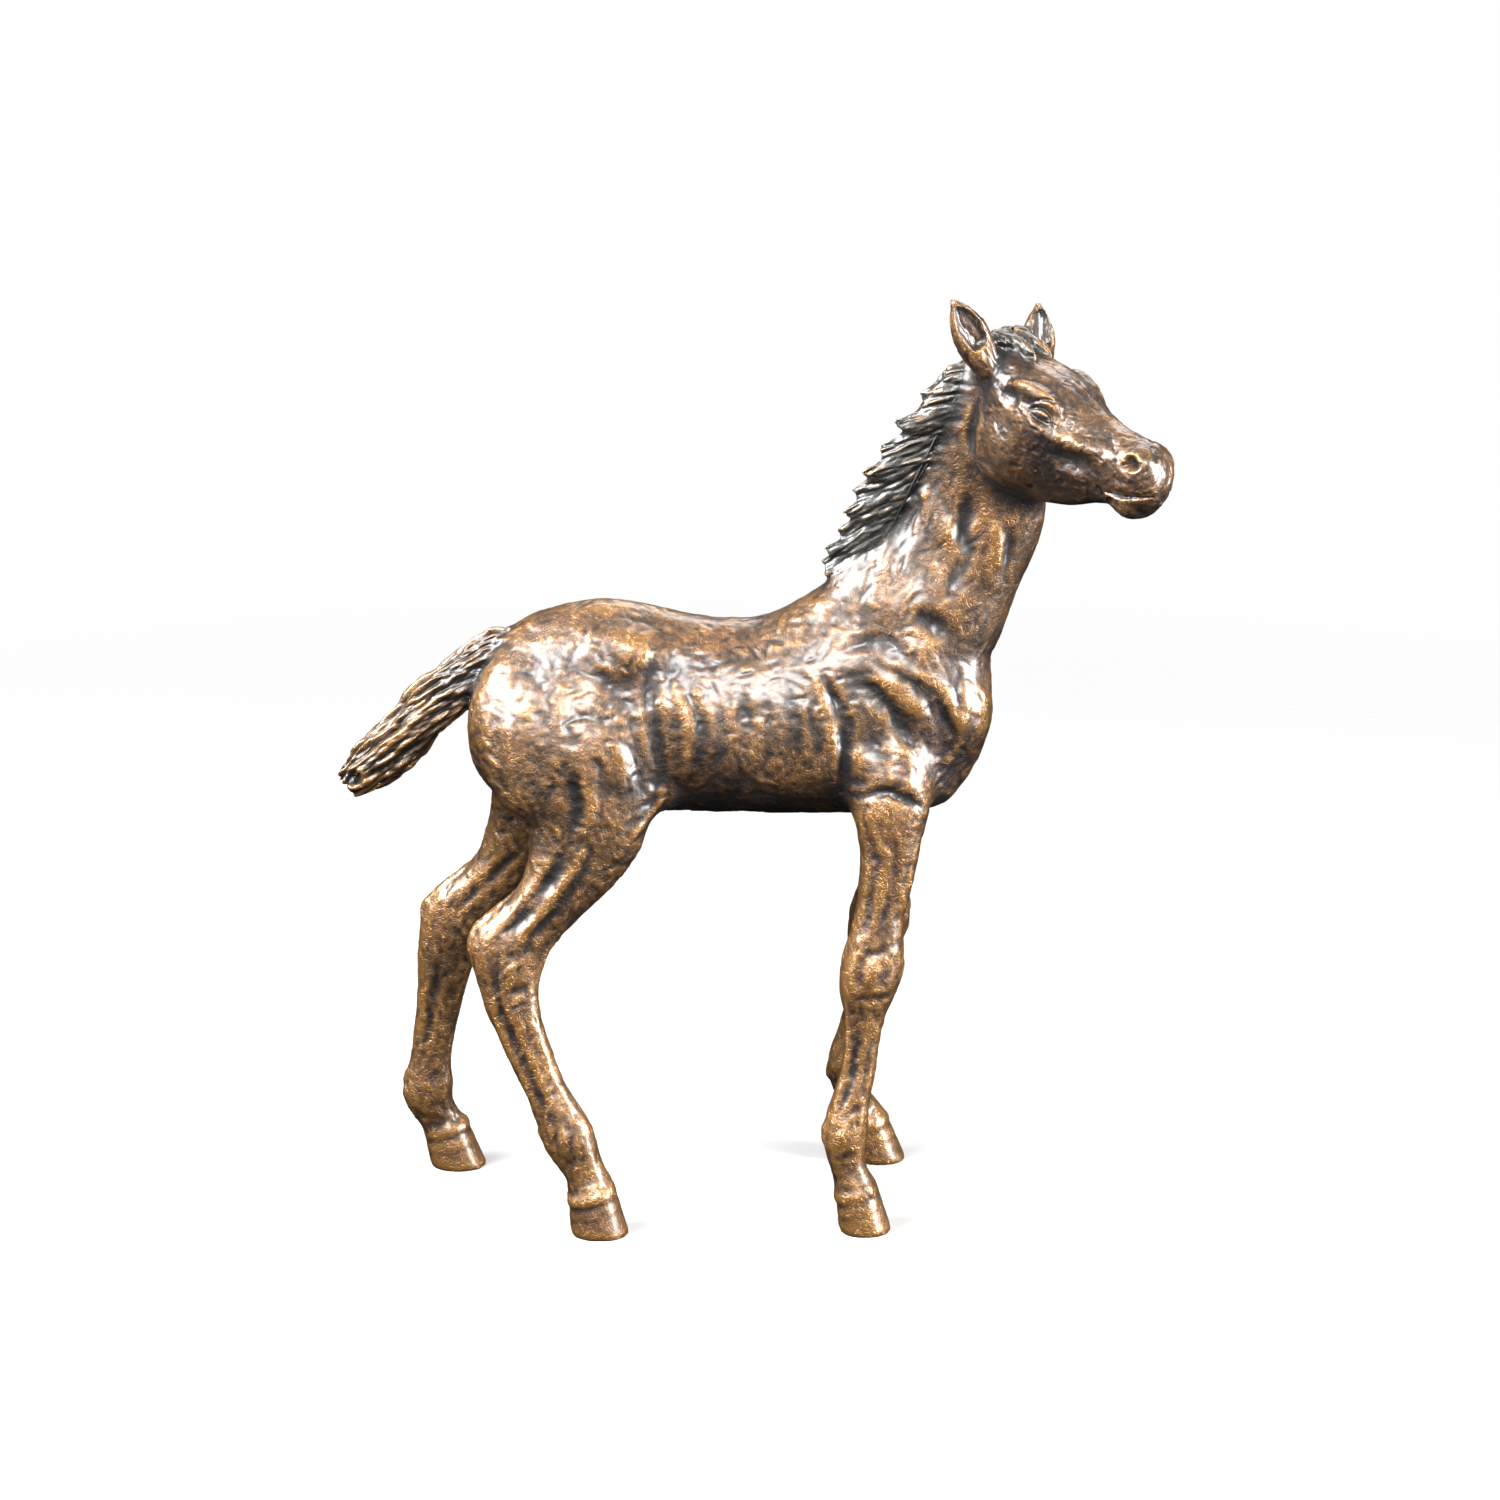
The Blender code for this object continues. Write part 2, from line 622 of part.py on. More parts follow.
def core_plugs(made, castings, cutters):
    """Plugs that close the holes left by the core pins, and the wider one under the belly."""
    for x, z in CORE_PLUGS:
        half = width_at(x)
        for side, word in ((-1, "right"), (1, "left")):
            name = "core_plug_" + ("fore_" if x > 0 else "hind_") + word
            centre = (x, side * (half - BELLY_WALL / 2), z)
            radius, length = CORE_PLUG
            plug = rod(name, centre, (0, 1, 0), radius, length, castings)
            modify(plug, "BEVEL", width=0.15 * MM, segments=1, limit_method="ANGLE")
            hole = rod(name + "_hole", centre, (0, 1, 0), radius + PIN_GAP, BELLY_WALL * 3, cutters)
            cut(made["torso"], "DIFFERENCE", hole)
    radius, length = BELLY_PLUG
    bottom = min(row[2] for row in TORSO if abs(row[0] - BELLY_PLUG_X) < 6)
    centre = (BELLY_PLUG_X, 0, bottom + BELLY_WALL / 2)
    plug = rod("belly_plug", centre, (0, 0, 1), radius, length, castings, segments=20)
    modify(plug, "BEVEL", width=0.15 * MM, segments=1, limit_method="ANGLE")
    hole = rod("belly_plug_hole", centre, (0, 0, 1), radius + PIN_GAP, BELLY_WALL * 3, cutters, segments=20)
    cut(made["torso"], "DIFFERENCE", hole)


def width_at(x):
    """Half width of the barrel at x."""
    rows = [row for row in finer(TORSO, 6) if row[0] <= x]
    return rows[-1][3]


def lock_mass(name, root, tip, thickness, spread, sideways, collection):
    """A lock of hair: thick at the root, drawn out to a blunt tip that curves up a little."""
    root, tip = Vector(root), Vector(tip)
    along = (tip - root).normalized()
    across = Vector(sideways)
    across = (across - along * across.dot(along)).normalized()
    upward = along.cross(across)
    rings = []
    for k in range(7):
        t = k / 6
        share = (1 - t) ** 0.7 * 0.86 + 0.14
        centre = root + (tip - root) * t + upward * (0.35 * thickness * math.sin(math.pi * t))
        rings.append(
            ring_points(centre, across, upward, spread * share, thickness * share, thickness * share, 0.0, 12)
        )
    return loft(name, rings, collection)


def crest_side(z):
    """How far the crest is carried to the foal's right at this height."""
    rows = finer(NECK, 4)
    nearest = min(rows, key=lambda row: abs(row[2] - z))
    return nearest[1]


def crest_ridge(collection):
    """The roots of the locks, run together along the crest."""
    rings = []
    rows = finer([(x, z, dx, dz) for x, z, dx, dz, _ in MANE_LOCKS], 2)
    for k, (x, z, dx, dz) in enumerate(rows):
        outward = Vector((dx, 0, dz + 7)).normalized()
        share = 1.0 if 1 < k < len(rows) - 2 else 0.6
        centre = Vector((x, crest_side(z - 3), z))
        rings.append(ring_points(centre, (0, 1, 0), outward, 2.2 * share, 2.6 * share, 3.2 * share, 0.0, 12))
    return loft("ridge", rings, collection)


def mane(clearance, castings):
    locks = []
    for x, z, dx, dz, thick in MANE_LOCKS:
        y = crest_side(z - 3)
        side = 0.5 if len(locks) % 2 else -0.5
        root, tip = (x + 1.2, y, z - 0.8), (x + dx, y + side, z + dz)
        locks.append(lock_mass("lock", root, tip, thick, LOCK_SPREAD, (0, 1, 0), castings))
    locks.append(crest_ridge(castings))
    hair = fused(joined("mane", locks, castings), 0.5, 1)
    thinned(hair, 900)
    cut(hair, "DIFFERENCE", clearance)
    return hair


def forelock(clearance, castings):
    frame = head_frame()
    tufts = []
    for along, side, up, reach, sway, rise in FORELOCK_TUFTS:
        root = frame @ Vector((along, side, up))
        tip = frame @ Vector((along + reach, side + sway, up + rise))
        across = frame.to_3x3() @ Vector((0, 1, 0))
        tufts.append(lock_mass("tuft", root, tip, TUFT_THICKNESS, TUFT_THICKNESS, across, castings))
    hair = fused(joined("forelock", tufts, castings), 0.4, 1)
    thinned(hair, 360)
    cut(hair, "DIFFERENCE", clearance)
    return hair


def ear_loft(name, root, tip, facing, share, offset, collection):
    """A leaf-shaped loft from root to tip, narrowed by share and set by offset towards the way it faces."""
    root, tip = Vector(root), Vector(tip)
    along = (tip - root).normalized()
    facing = Vector(facing)
    facing = (facing - along * facing.dot(along)).normalized()
    across = along.cross(facing)
    rings = []
    rows = finer(EAR_PROFILE, 2)
    for k, (half, thick) in enumerate(rows):
        t = k / (len(rows) - 1)
        centre = root + (tip - root) * t + facing * (offset * thick)
        rings.append(ring_points(centre, across, facing, half * share, thick * share, thick * share, 0.0, 10))
    return loft(name, rings, collection)


def ears(made, clearance, castings, cutters):
    share, offset = EAR_CUP
    for name, root, tip, facing in EARS:
        ear = ear_loft(name, root, tip, facing, 1.0, 0.0, castings)
        start = Vector(root).lerp(Vector(tip), 0.34)
        end = Vector(root).lerp(Vector(tip), 0.93)
        cup = ear_loft(name + "_cup", start, end, facing, share, offset / share, cutters)
        cut(ear, "DIFFERENCE", cup)
        cut(ear, "DIFFERENCE", clearance)
        inward = Vector(root) - Vector(tip)
        centre = Vector(root) - inward * 0.16
        pinned(name + "_pin", centre, inward, EAR_PIN, (made["neck_and_head"], ear), castings, cutters)


def tail(made, clearance, castings, cutters):
    path = TAIL_PATH
    rings = []
    rows = finer([(*p, r) for p, r in zip(path, TAIL_RADII)], 2)
    for k, (x, y, z, radius) in enumerate(rows):
        before, after = rows[max(k - 1, 0)], rows[min(k + 1, len(rows) - 1)]
        along = (Vector(after[:3]) - Vector(before[:3])).normalized()
        upward = Vector((0, 1, 0)).cross(along).normalized()
        rings.append(
            ring_points((x, y, z), (0, 1, 0), upward, radius * TAIL_FLATNESS, radius, radius, 0.0, 18)
        )
    hair = fused(loft("tail", rings, castings), 0.7, 1)
    thinned(hair, 560)
    cut(hair, "DIFFERENCE", clearance)
    holes = (made["torso"], hair)
    pinned("tail_dowel", TAIL_DOWEL_CENTRE, TAIL_DOWEL_WAY, TAIL_DOWEL, holes, castings, cutters)
    return hair


def hair_pins(made, hair, tuft, castings, cutters):
    for name, k in (("mane_pin_upper", 3), ("mane_pin_lower", 8)):
        x, z, dx, dz, _ = MANE_LOCKS[k]
        outward = Vector((dx, 0, dz + 3)).normalized()
        centre = Vector((x, crest_side(z - 3), z)) - outward * 1.6
        pinned(name, centre, outward, MANE_PIN, (made["neck_and_head"], hair), castings, cutters)
    centre = head_frame() @ Vector((0.6, 0.0, 0.6))
    upward = head_frame().to_3x3() @ Vector((0, 0, 1))
    pinned("forelock_pin", centre, upward, FORELOCK_PIN, (made["neck_and_head"], tuft), castings, cutters)


def bronze(obj, kind):
    colour, roughness = BRONZES[kind]
    material = bpy.data.materials.new(obj.name + "_bronze")
    material.use_nodes = True
    shader = material.node_tree.nodes["Principled BSDF"]
    shader.inputs["Base Color"].default_value = (*colour, 1)
    shader.inputs["Roughness"].default_value = roughness
    shader.inputs["Metallic"].default_value = 1.0
    obj.data.materials.clear()
    obj.data.materials.append(material)


def kind_of(name):
    for word, kind in (("plug", "plug"), ("sleeve", "tube"), ("pin", "rod"), ("dowel", "rod")):
        if word in name:
            return kind
    return "cast"


def stand_on_origin(castings):
    """Moves every mesh so that the bounding box of the castings stands centred on the origin."""
    bpy.context.view_layer.update()
    graph = bpy.context.evaluated_depsgraph_get()
    corners = [
        Vector(corner) for obj in castings.objects for corner in obj.evaluated_get(graph).bound_box
    ]
    low = Vector([min(c[k] for c in corners) for k in range(3)])
    high = Vector([max(c[k] for c in corners) for k in range(3)])
    shift = Matrix.Translation((-(low.x + high.x) / 2, -(low.y + high.y) / 2, -low.z))
    for obj in bpy.data.objects:
        obj.data.transform(shift)


def main():
    for obj in list(bpy.data.objects):
        bpy.data.objects.remove(obj)
    castings = bpy.data.collections.new("bronze_foal")
    cutters = bpy.data.collections.new("bronze_foal_cutters")
    bpy.context.scene.collection.children.link(castings)
    bpy.context.scene.collection.children.link(cutters)
    figure = figure_mass(cutters)
    clearance = copied("figure_clearance", figure, cutters)
    modify(clearance, "DISPLACE", strength=SEAM_GAP * MM, mid_level=0)
    applied(clearance)
    made = part_castings(figure, castings, cutters)
    leg_dowels(made, castings, cutters)
    neck_joint(made, castings, cutters)
    core_plugs(made, castings, cutters)
    tail(made, clearance, castings, cutters)
    hair = mane(clearance, castings)
    tuft = forelock(clearance, castings)
    ears(made, clearance, castings, cutters)
    hair_pins(made, hair, tuft, castings, cutters)
    for obj in cutters.objects:
        obj.hide_render = True
        obj.display_type = "WIRE"
    for obj in castings.objects:
        bronze(obj, kind_of(obj.name))
    stand_on_origin(castings)


main()
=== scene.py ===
"""The finished look of the bronze foal: one chased skin with the modeller's marks in it, and its patina, with
painted shade on the undersides.

The castings are fused on a fine grid, worked over with strokes as a modeller works wax, and parted again
where the foundry parts them. Lengths are millimetres, and MM turns a finished piece into metres.
Body places are measured from the neck sleeve, which is centred on the neck seam: +X ahead, +Z up.
Head places are measured from the poll, in the head's own turned frame: +X to the lips, +Z to the forehead.
"""

import math

import bmesh
import bpy
import numpy as np
from mathutils import Matrix, Vector
from mathutils.bvhtree import BVHTree
from mathutils.kdtree import KDTree


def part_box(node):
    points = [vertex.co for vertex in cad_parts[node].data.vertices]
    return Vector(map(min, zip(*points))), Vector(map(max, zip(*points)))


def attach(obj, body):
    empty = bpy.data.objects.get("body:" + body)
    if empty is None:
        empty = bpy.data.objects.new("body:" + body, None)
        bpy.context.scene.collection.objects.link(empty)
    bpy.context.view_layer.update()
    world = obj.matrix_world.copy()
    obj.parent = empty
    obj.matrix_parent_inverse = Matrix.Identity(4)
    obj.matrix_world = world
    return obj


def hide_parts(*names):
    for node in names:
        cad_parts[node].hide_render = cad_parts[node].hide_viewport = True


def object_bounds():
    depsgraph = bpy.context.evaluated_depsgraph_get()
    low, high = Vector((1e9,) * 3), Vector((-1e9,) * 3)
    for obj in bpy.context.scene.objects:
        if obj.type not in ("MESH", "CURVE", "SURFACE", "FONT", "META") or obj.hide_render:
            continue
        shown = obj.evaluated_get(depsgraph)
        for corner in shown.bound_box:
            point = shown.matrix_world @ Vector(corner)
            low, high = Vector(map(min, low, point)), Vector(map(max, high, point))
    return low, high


MM = 0.001

CASTINGS = (
    "torso",
    "neck_and_head",
    "foreleg_right",
    "foreleg_left",
    "hindleg_right",
    "hindleg_left",
    "tail",
    "mane",
    "forelock",
    "ear_right",
    "ear_left",
)
PLUGS = (
    "core_plug_fore_right",
    "core_plug_fore_left",
    "core_plug_hind_right",
    "core_plug_hind_left",
    "belly_plug",
)
FREE_FORMS = ("tail", "mane", "forelock", "ear_right", "ear_left")

# Where the castings are parted, in body places
SLEEVE_PLACE = (25.0, 0.0, 93.5)
FORELEG_SEAM_Z = 56.5
HINDLEG_SEAM_Z = 53.5
NECK_SEAM_TILT = math.radians(20)
HEAD_PLACE = (37.6, -3.2, 133.5)
HEAD_YAW = math.radians(-42)
HEAD_PITCH = math.radians(20.2)
LEG_TOP = 62.0  # up to here a leg stands clear of the other

GROWN = 0.22  # how far the castings are grown before they are fused, to close the seams
GRID = 0.34  # grid on which the skin is fused

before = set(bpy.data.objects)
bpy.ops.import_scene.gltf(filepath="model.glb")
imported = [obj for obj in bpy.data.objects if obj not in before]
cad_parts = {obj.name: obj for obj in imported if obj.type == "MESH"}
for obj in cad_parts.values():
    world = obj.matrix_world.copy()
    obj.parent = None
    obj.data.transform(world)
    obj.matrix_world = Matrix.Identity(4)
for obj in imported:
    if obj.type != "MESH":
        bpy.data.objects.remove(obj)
cad_box = [list(corner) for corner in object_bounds()]


def middle(node):
    low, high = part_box(node)
    return np.array((low + high) / 2) / MM


ORIGIN = middle("neck_sleeve") - np.array(SLEEVE_PLACE)
HEAD = (
    Matrix.Translation(Vector(ORIGIN) + Vector(HEAD_PLACE))
    @ Matrix.Rotation(HEAD_YAW, 4, "Z")
    @ Matrix.Rotation(HEAD_PITCH, 4, "Y")
)
HEAD_TURN = np.array(HEAD.to_3x3())
HEAD_AT = np.array(HEAD.translation)
rng = np.random.default_rng(11)


def unit(vectors):
    return vectors / np.maximum(np.linalg.norm(vectors, axis=-1, keepdims=True), 1e-9)


def smoothstep(low, high, value):
    t = np.clip((value - low) / (high - low), 0, 1)
    return t * t * (3 - 2 * t)


# ---------------------------------------------------------------- noise


def lattice(cells, seed):
    """A random number from 0 to 1 for each whole-number cell."""
    mixed = cells[..., 0] * 73856093 ^ cells[..., 1] * 19349663 ^ cells[..., 2] * 83492791 ^ seed * 2654435761
    mixed = (mixed ^ (mixed >> 13)) * 1274126177
    return ((mixed ^ (mixed >> 16)) & 0xFFFFFF) / float(0xFFFFFF)


def noise(points, size, seed):
    """Smooth noise from -1 to 1 with features of about that size, in millimetres."""
    scaled = points / size
    cell = np.floor(scaled).astype(np.int64)
    part = scaled - cell
    part = part * part * (3 - 2 * part)
    total = np.zeros(len(points))
    for corner in np.ndindex(2, 2, 2):
        share = np.prod(np.where(np.array(corner) == 1, part, 1 - part), axis=1)
        total += share * lattice(cell + np.array(corner), seed)
    return total * 2 - 1


# ---------------------------------------------------------------- the fused skin


def grown_castings():
    """The castings and plugs in one mesh, grown enough for the seams between them to close."""
    bm = bmesh.new()
    for name in (*CASTINGS, *PLUGS):
        bm.from_mesh(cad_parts[name].data)
    bmesh.ops.remove_doubles(bm, verts=bm.verts, dist=1e-6)
    bm.normal_update()
    for vert in bm.verts:
        vert.co += vert.normal * min(vert.calc_shell_factor(), 1.8) * GROWN * MM
    mesh = bpy.data.meshes.new("grown")
    bm.to_mesh(mesh)
    bm.free()
    return mesh


def fused(mesh):
    """The mesh rebuilt on the grid: points in millimetres and four-cornered faces."""
    made = bpy.data.objects.new("fused", mesh)
    bpy.context.scene.collection.objects.link(made)
    modifier = made.modifiers.new("grid", "REMESH")
    modifier.mode = "VOXEL"
    modifier.voxel_size = GRID * MM
    graph = bpy.context.evaluated_depsgraph_get()
    result = made.evaluated_get(graph).to_mesh()
    points = np.empty(len(result.vertices) * 3)
    result.vertices.foreach_get("co", points)
    faces = np.empty(len(result.loops), np.int64)
    result.loops.foreach_get("vertex_index", faces)
    faces = faces.reshape(-1, 4)
    bpy.data.objects.remove(made)
    bpy.data.meshes.remove(mesh)
    return points.reshape(-1, 3) / MM, faces


def edges_of(faces):
    pairs = np.concatenate([faces[:, [k, (k + 1) % faces.shape[1]]] for k in range(faces.shape[1])])
    return np.unique(np.sort(pairs, axis=1), axis=0)


def outer_body(points, faces):
    """Only the outermost body: the hollow of the barrel and the gaps round pins are left out."""
    edges = edges_of(faces)
    ends = np.concatenate([edges, edges[:, ::-1]])
    ends = ends[np.argsort(ends[:, 0], kind="stable")]
    starts = np.searchsorted(ends[:, 0], np.arange(len(points) + 1))
    found = np.zeros(len(points), bool)
    front = np.array([int(np.argmax(points[:, 0]))])
    found[front] = True
    while len(front):
        reached = np.concatenate([ends[starts[v] : starts[v + 1], 1] for v in front])
        front = np.unique(reached[~found[reached]])
        found[front] = True
    number = np.cumsum(found) - 1
    return points[found], number[faces[found[faces[:, 0]]]]


class Skin:
    """The figure's surface: points, unit normals, triangles, edges, and the casting each point belongs to."""

    def __init__(self, mesh):
        self.mesh = mesh
        self.points = np.empty(len(mesh.vertices) * 3)
        mesh.vertices.foreach_get("co", self.points)
        self.points = self.points.reshape(-1, 3) / MM
        mesh.calc_loop_triangles()
        self.triangles = np.empty(len(mesh.loop_triangles) * 3, np.int64)
        mesh.loop_triangles.foreach_get("vertices", self.triangles)
        self.triangles = self.triangles.reshape(-1, 3)
        self.edges = np.empty(len(mesh.edges) * 2, np.int64)
        mesh.edges.foreach_get("vertices", self.edges)
        self.edges = self.edges.reshape(-1, 2)
        self.degree = np.bincount(self.edges.ravel(), minlength=len(self.points))[:, None]
        self.casting = nearest_casting(self.points)
        self.height = np.zeros(len(self.points))
        self.refresh()

    def spread(self, values):
        """The mean of each point's neighbours, for one or more values a point."""
        wide = values if values.ndim > 1 else values[:, None]
        total = np.zeros_like(wide, dtype=float)
        a, b = self.edges.T
        for k in range(wide.shape[1]):
            total[:, k] = np.bincount(a, wide[b, k], len(wide)) + np.bincount(b, wide[a, k], len(wide))
        total /= self.degree
        return total if values.ndim > 1 else total[:, 0]

    def softened(self, values, rounds, share=0.5):
        for _ in range(rounds):
            values = values + share * (self.spread(values) - values)
        return values

    def refresh(self):
        corners = self.points[self.triangles]
        flat = np.cross(corners[:, 1] - corners[:, 0], corners[:, 2] - corners[:, 0])
        total = np.zeros_like(self.points)
        for k in range(3):
            for axis in range(3):
                total[:, axis] += np.bincount(self.triangles[:, k], flat[:, axis], len(self.points))
        self.normals = unit(total)

    def index(self):
        """Prepares the searches for the surface as it is now."""
        self.tree = BVHTree.FromPolygons(self.points.tolist(), self.triangles.tolist())
        self.finder = KDTree(len(self.points))
        for number, point in enumerate(self.points.tolist()):
            self.finder.insert(point, number)
        self.finder.balance()

    def raise_height(self):
        """Moves each point out by its height, and starts a new height."""
        self.points = self.points + self.normals * self.height[:, None]
        self.height = np.zeros(len(self.points))
        self.refresh()

    def of(self, *names):
        return np.isin(self.casting, [CASTINGS.index(name) for name in names])


def nearest_casting(points):
    """For each point, the number of the casting whose own surface is nearest."""
    corners, faces, owner, offset = [], [], [], 0
    for number, name in enumerate(CASTINGS):
        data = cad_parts[name].data
        data.calc_loop_triangles()
        corners += [tuple(v.co / MM) for v in data.vertices]
        faces += [tuple(i + offset for i in t.vertices) for t in data.loop_triangles]
        owner += [number] * len(data.loop_triangles)
        offset += len(data.vertices)
    tree = BVHTree.FromPolygons(corners, faces)
    return np.array([owner[tree.find_nearest(point)[2]] for point in points.tolist()])


def mesh_of(points, faces, name):
    mesh = bpy.data.meshes.new(name)
    mesh.from_pydata((points * MM).tolist(), [], faces.tolist() if hasattr(faces, "tolist") else faces)
    return mesh


def head_places(points):
    """Points of the scene in the head's frame."""
    return (points - HEAD_AT) @ HEAD_TURN


def finer_where(mesh, chosen):
    """Cuts each face in four where all its corners are chosen."""
    bm = bmesh.new()
    bm.from_mesh(mesh)
    bm.verts.ensure_lookup_table()
    edges = [e for e in bm.edges if chosen[e.verts[0].index] and chosen[e.verts[1].index]]
    bmesh.ops.subdivide_edges(bm, edges=edges, cuts=1, use_grid_fill=True)
    bm.to_mesh(mesh)
    bm.free()
    return mesh


def make_skin():
    points, faces = outer_body(*fused(grown_castings()))
    mesh = mesh_of(points, faces, "skin")
    casting = nearest_casting(points)
    placed = head_places(points)
    on_face = (casting == CASTINGS.index("neck_and_head")) & (placed[:, 0] > 4) & (placed[:, 2] > -13)
    forms = np.isin(casting, [CASTINGS.index(name) for name in FREE_FORMS])
    skin = Skin(finer_where(mesh, on_face | forms))
    skin.points = skin.points - skin.normals * GROWN
    share = np.full(len(skin.points), 0.5)
    share[skin.of("foreleg_right", "foreleg_left", "hindleg_right", "hindleg_left")] = 0.32
    share[skin.of(*FREE_FORMS)] = 0.10
    share = skin.softened(share, 20)[:, None]
    smooth = skin.points
    for _ in range(46):
        smooth = smooth + share * (skin.spread(smooth) - smooth)
    lost = skin.softened(skin.points - smooth, 60)
    skin.points = smooth + lost
    skin.refresh()
    skin.index()
    return skin


# ---------------------------------------------------------------- places on the skin


def curve_through(places, step=0.7):
    """A smooth line through the places, with points about a step apart."""
    places = np.array(places, float)
    if len(places) < 3:
        count = max(2, int(np.linalg.norm(places[-1] - places[0]) / step) + 1)
        return places[0] + (places[-1] - places[0]) * np.linspace(0, 1, count)[:, None]
    padded = np.concatenate([[2 * places[0] - places[1]], places, [2 * places[-1] - places[-2]]])
    line = []
    for i in range(len(places) - 1):
        a, b, c, d = padded[i : i + 4]
        count = max(2, int(np.linalg.norm(c - b) / step) + 1)
        for t in np.linspace(0, 1, count, endpoint=False):
            square = (2 * a - 5 * b + 4 * c - d) * t**2
            cube = (3 * b - a - 3 * c + d) * t**3
            line.append(0.5 * (2 * b + (c - a) * t + square + cube))
    return np.array([*line, places[-1]])


def cast(starts, ways, reach=60.0):
    """Where lines from the starts first meet the skin, leaving out the ones that miss."""
    hits, facing = [], []
    for start, way in zip(starts, ways):
        place, normal, _, _ = skin.tree.ray_cast(Vector(start), Vector(way), reach)
        if place is not None:
            hits.append(np.array(place))
            facing.append(np.array(normal))
    return np.array(hits), np.array(facing)


def on_side(places, side):
    """Body places (x, z) laid on the right (side -1) or left (side 1) flank."""
    line = curve_through(places)
    starts = np.column_stack([line[:, 0], np.full(len(line), side * 30.0), line[:, 1]]) + ORIGIN
    return cast(starts, np.tile([0, -side, 0], (len(line), 1)), 34.0)


def on_head(places, side):
    """Head places (x, z) laid on the right or left of the head."""
    line = curve_through(places, 0.4)
    starts = np.column_stack([line[:, 0], np.full(len(line), side * 20.0), line[:, 1]])
    ways = np.tile([0, -side, 0], (len(line), 1))
    return cast(starts @ HEAD_TURN.T + HEAD_AT, ways @ HEAD_TURN.T, 24.0)


def over_head(places):
    """Head places (x, y) laid on the top of the head."""
    line = curve_through(places, 0.4)
    starts = np.column_stack([line, np.full(len(line), 12.0)])
    ways = np.tile([0, 0, -1], (len(line), 1))
    return cast(starts @ HEAD_TURN.T + HEAD_AT, ways @ HEAD_TURN.T, 24.0)


class Leg:
    """One leg's centre line, read from slices of the skin, to lay strokes round it."""

    def __init__(self, name):
        low, high = (np.array(corner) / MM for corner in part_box(name))
        self.side = 1.0 if middle(name)[1] > ORIGIN[1] else -1.0
        own = skin.points[(skin.points[:, 1] - ORIGIN[1]) * self.side > 2.5]
        sole = own[(own[:, 2] < 1.5) & np.all(np.abs(own[:, :2] - (low + high)[:2] / 2) < 30, axis=1)]
        sole = sole[(sole[:, 0] > low[0] - 1) & (sole[:, 0] < high[0] + 1)]
        centre = (sole.min(0) + sole.max(0))[:2] / 2
        self.levels = np.arange(1.0, LEG_TOP, 1.5)
        centres = []
        for level in self.levels:
            slab = own[(np.abs(own[:, 2] - level) < 0.8) & (np.linalg.norm(own[:, :2] - centre, axis=1) < 11)]
            centre = (slab.min(0) + slab.max(0))[:2] / 2
            centres.append(centre)
        self.centres = np.array(centres)
        for _ in range(3):
            self.centres[1:-1] = (self.centres[:-2] + 2 * self.centres[1:-1] + self.centres[2:]) / 4

    def on(self, places):
        """Places (height, bearing) laid on the leg: bearing 0 is ahead, 90 outward, 180 behind."""
        line = curve_through(places, 0.6)
        x = np.interp(line[:, 0], self.levels, self.centres[:, 0])
        y = np.interp(line[:, 0], self.levels, self.centres[:, 1])
        turn = np.radians(line[:, 1])
        ways = np.column_stack([np.cos(turn), self.side * np.sin(turn), np.zeros(len(line))])
        away = np.where(line[:, 1] < 0, 8.0, 15.0)[:, None]
        return cast(np.column_stack([x, y, line[:, 0]]) + ways * away, -ways, 15.0)


# ---------------------------------------------------------------- strokes


def stroke(laid, width, depth, shelf=0.0, whole=False):
    """Works a line into the skin: a groove where depth is below zero, else a ridge.

    A shelf keeps that share of the depth on the left of the line for twice the
    width, so that one side looks laid over the other. A whole stroke isn't drawn out thin at its ends.
    """
    line, facing = laid
    if len(line) < 2:
        return
    reach = width * (3.0 if shelf else 1.9)
    inside = np.all((skin.points > line.min(0) - reach) & (skin.points < line.max(0) + reach), axis=1)
    near = np.flatnonzero(inside)
    if not len(near):
        return
    a, b = line[:-1], line[1:]
    ab = b - a
    away = skin.points[near][:, None] - a
    t = np.clip((away * ab).sum(2) / np.maximum((ab * ab).sum(1), 1e-9), 0, 1)
    gap = away - t[..., None] * ab
    far = np.linalg.norm(gap, axis=2)
    k = np.argmin(far, axis=1)
    row = np.arange(len(near))
    away, far, t = gap[row, k], far[row, k], t[row, k]
    normal = unit(facing[k] + facing[k + 1])
    along = (k + t) / len(ab)
    taper = 1.0 if whole else np.sin(np.pi * np.clip(along, 0.03, 0.97)) ** 0.6
    seen = smoothstep(0.0, 0.5, (skin.normals[near] * normal).sum(1))
    r = far / (width * (0.45 + 0.55 * taper))
    shape = np.clip(1 - r * r, 0, 1) ** 2 * depth
    if shelf:
        across = (away * np.cross(normal, unit(ab)[k])).sum(1) / width
        side = np.sign(shelf) * across
        held = smoothstep(-0.15, 0.35, side) * (1 - smoothstep(0.6, 2.8, side))
        shape += abs(shelf) * depth * held * (r > 0.3)
    uneven = np.clip(0.78 + 0.65 * noise(skin.points[near], 3.4, 17), 0.12, 1.5)
    skin.height[near] += shape * taper * seen * uneven


def dab(place, facing, way, long, wide, level, tilt, edge, force=1.0):
    """Presses one small facet into the skin: near the place, the height becomes the facet's own."""
    way = unit(way - facing * (way @ facing))
    across = np.cross(facing, way)
    near = np.array([i for _, i, _ in skin.finder.find_range(place, max(long, wide))])
    if not len(near):
        return
    away = skin.points[near] - place
    u, v = away @ way / long, away @ across / wide
    mask = np.clip((1 - np.sqrt(u * u + v * v)) / edge, 0, 1) * force
    mask *= skin.normals[near] @ facing > 0.3
    skin.height[near] += mask * (level + tilt * u - skin.height[near])


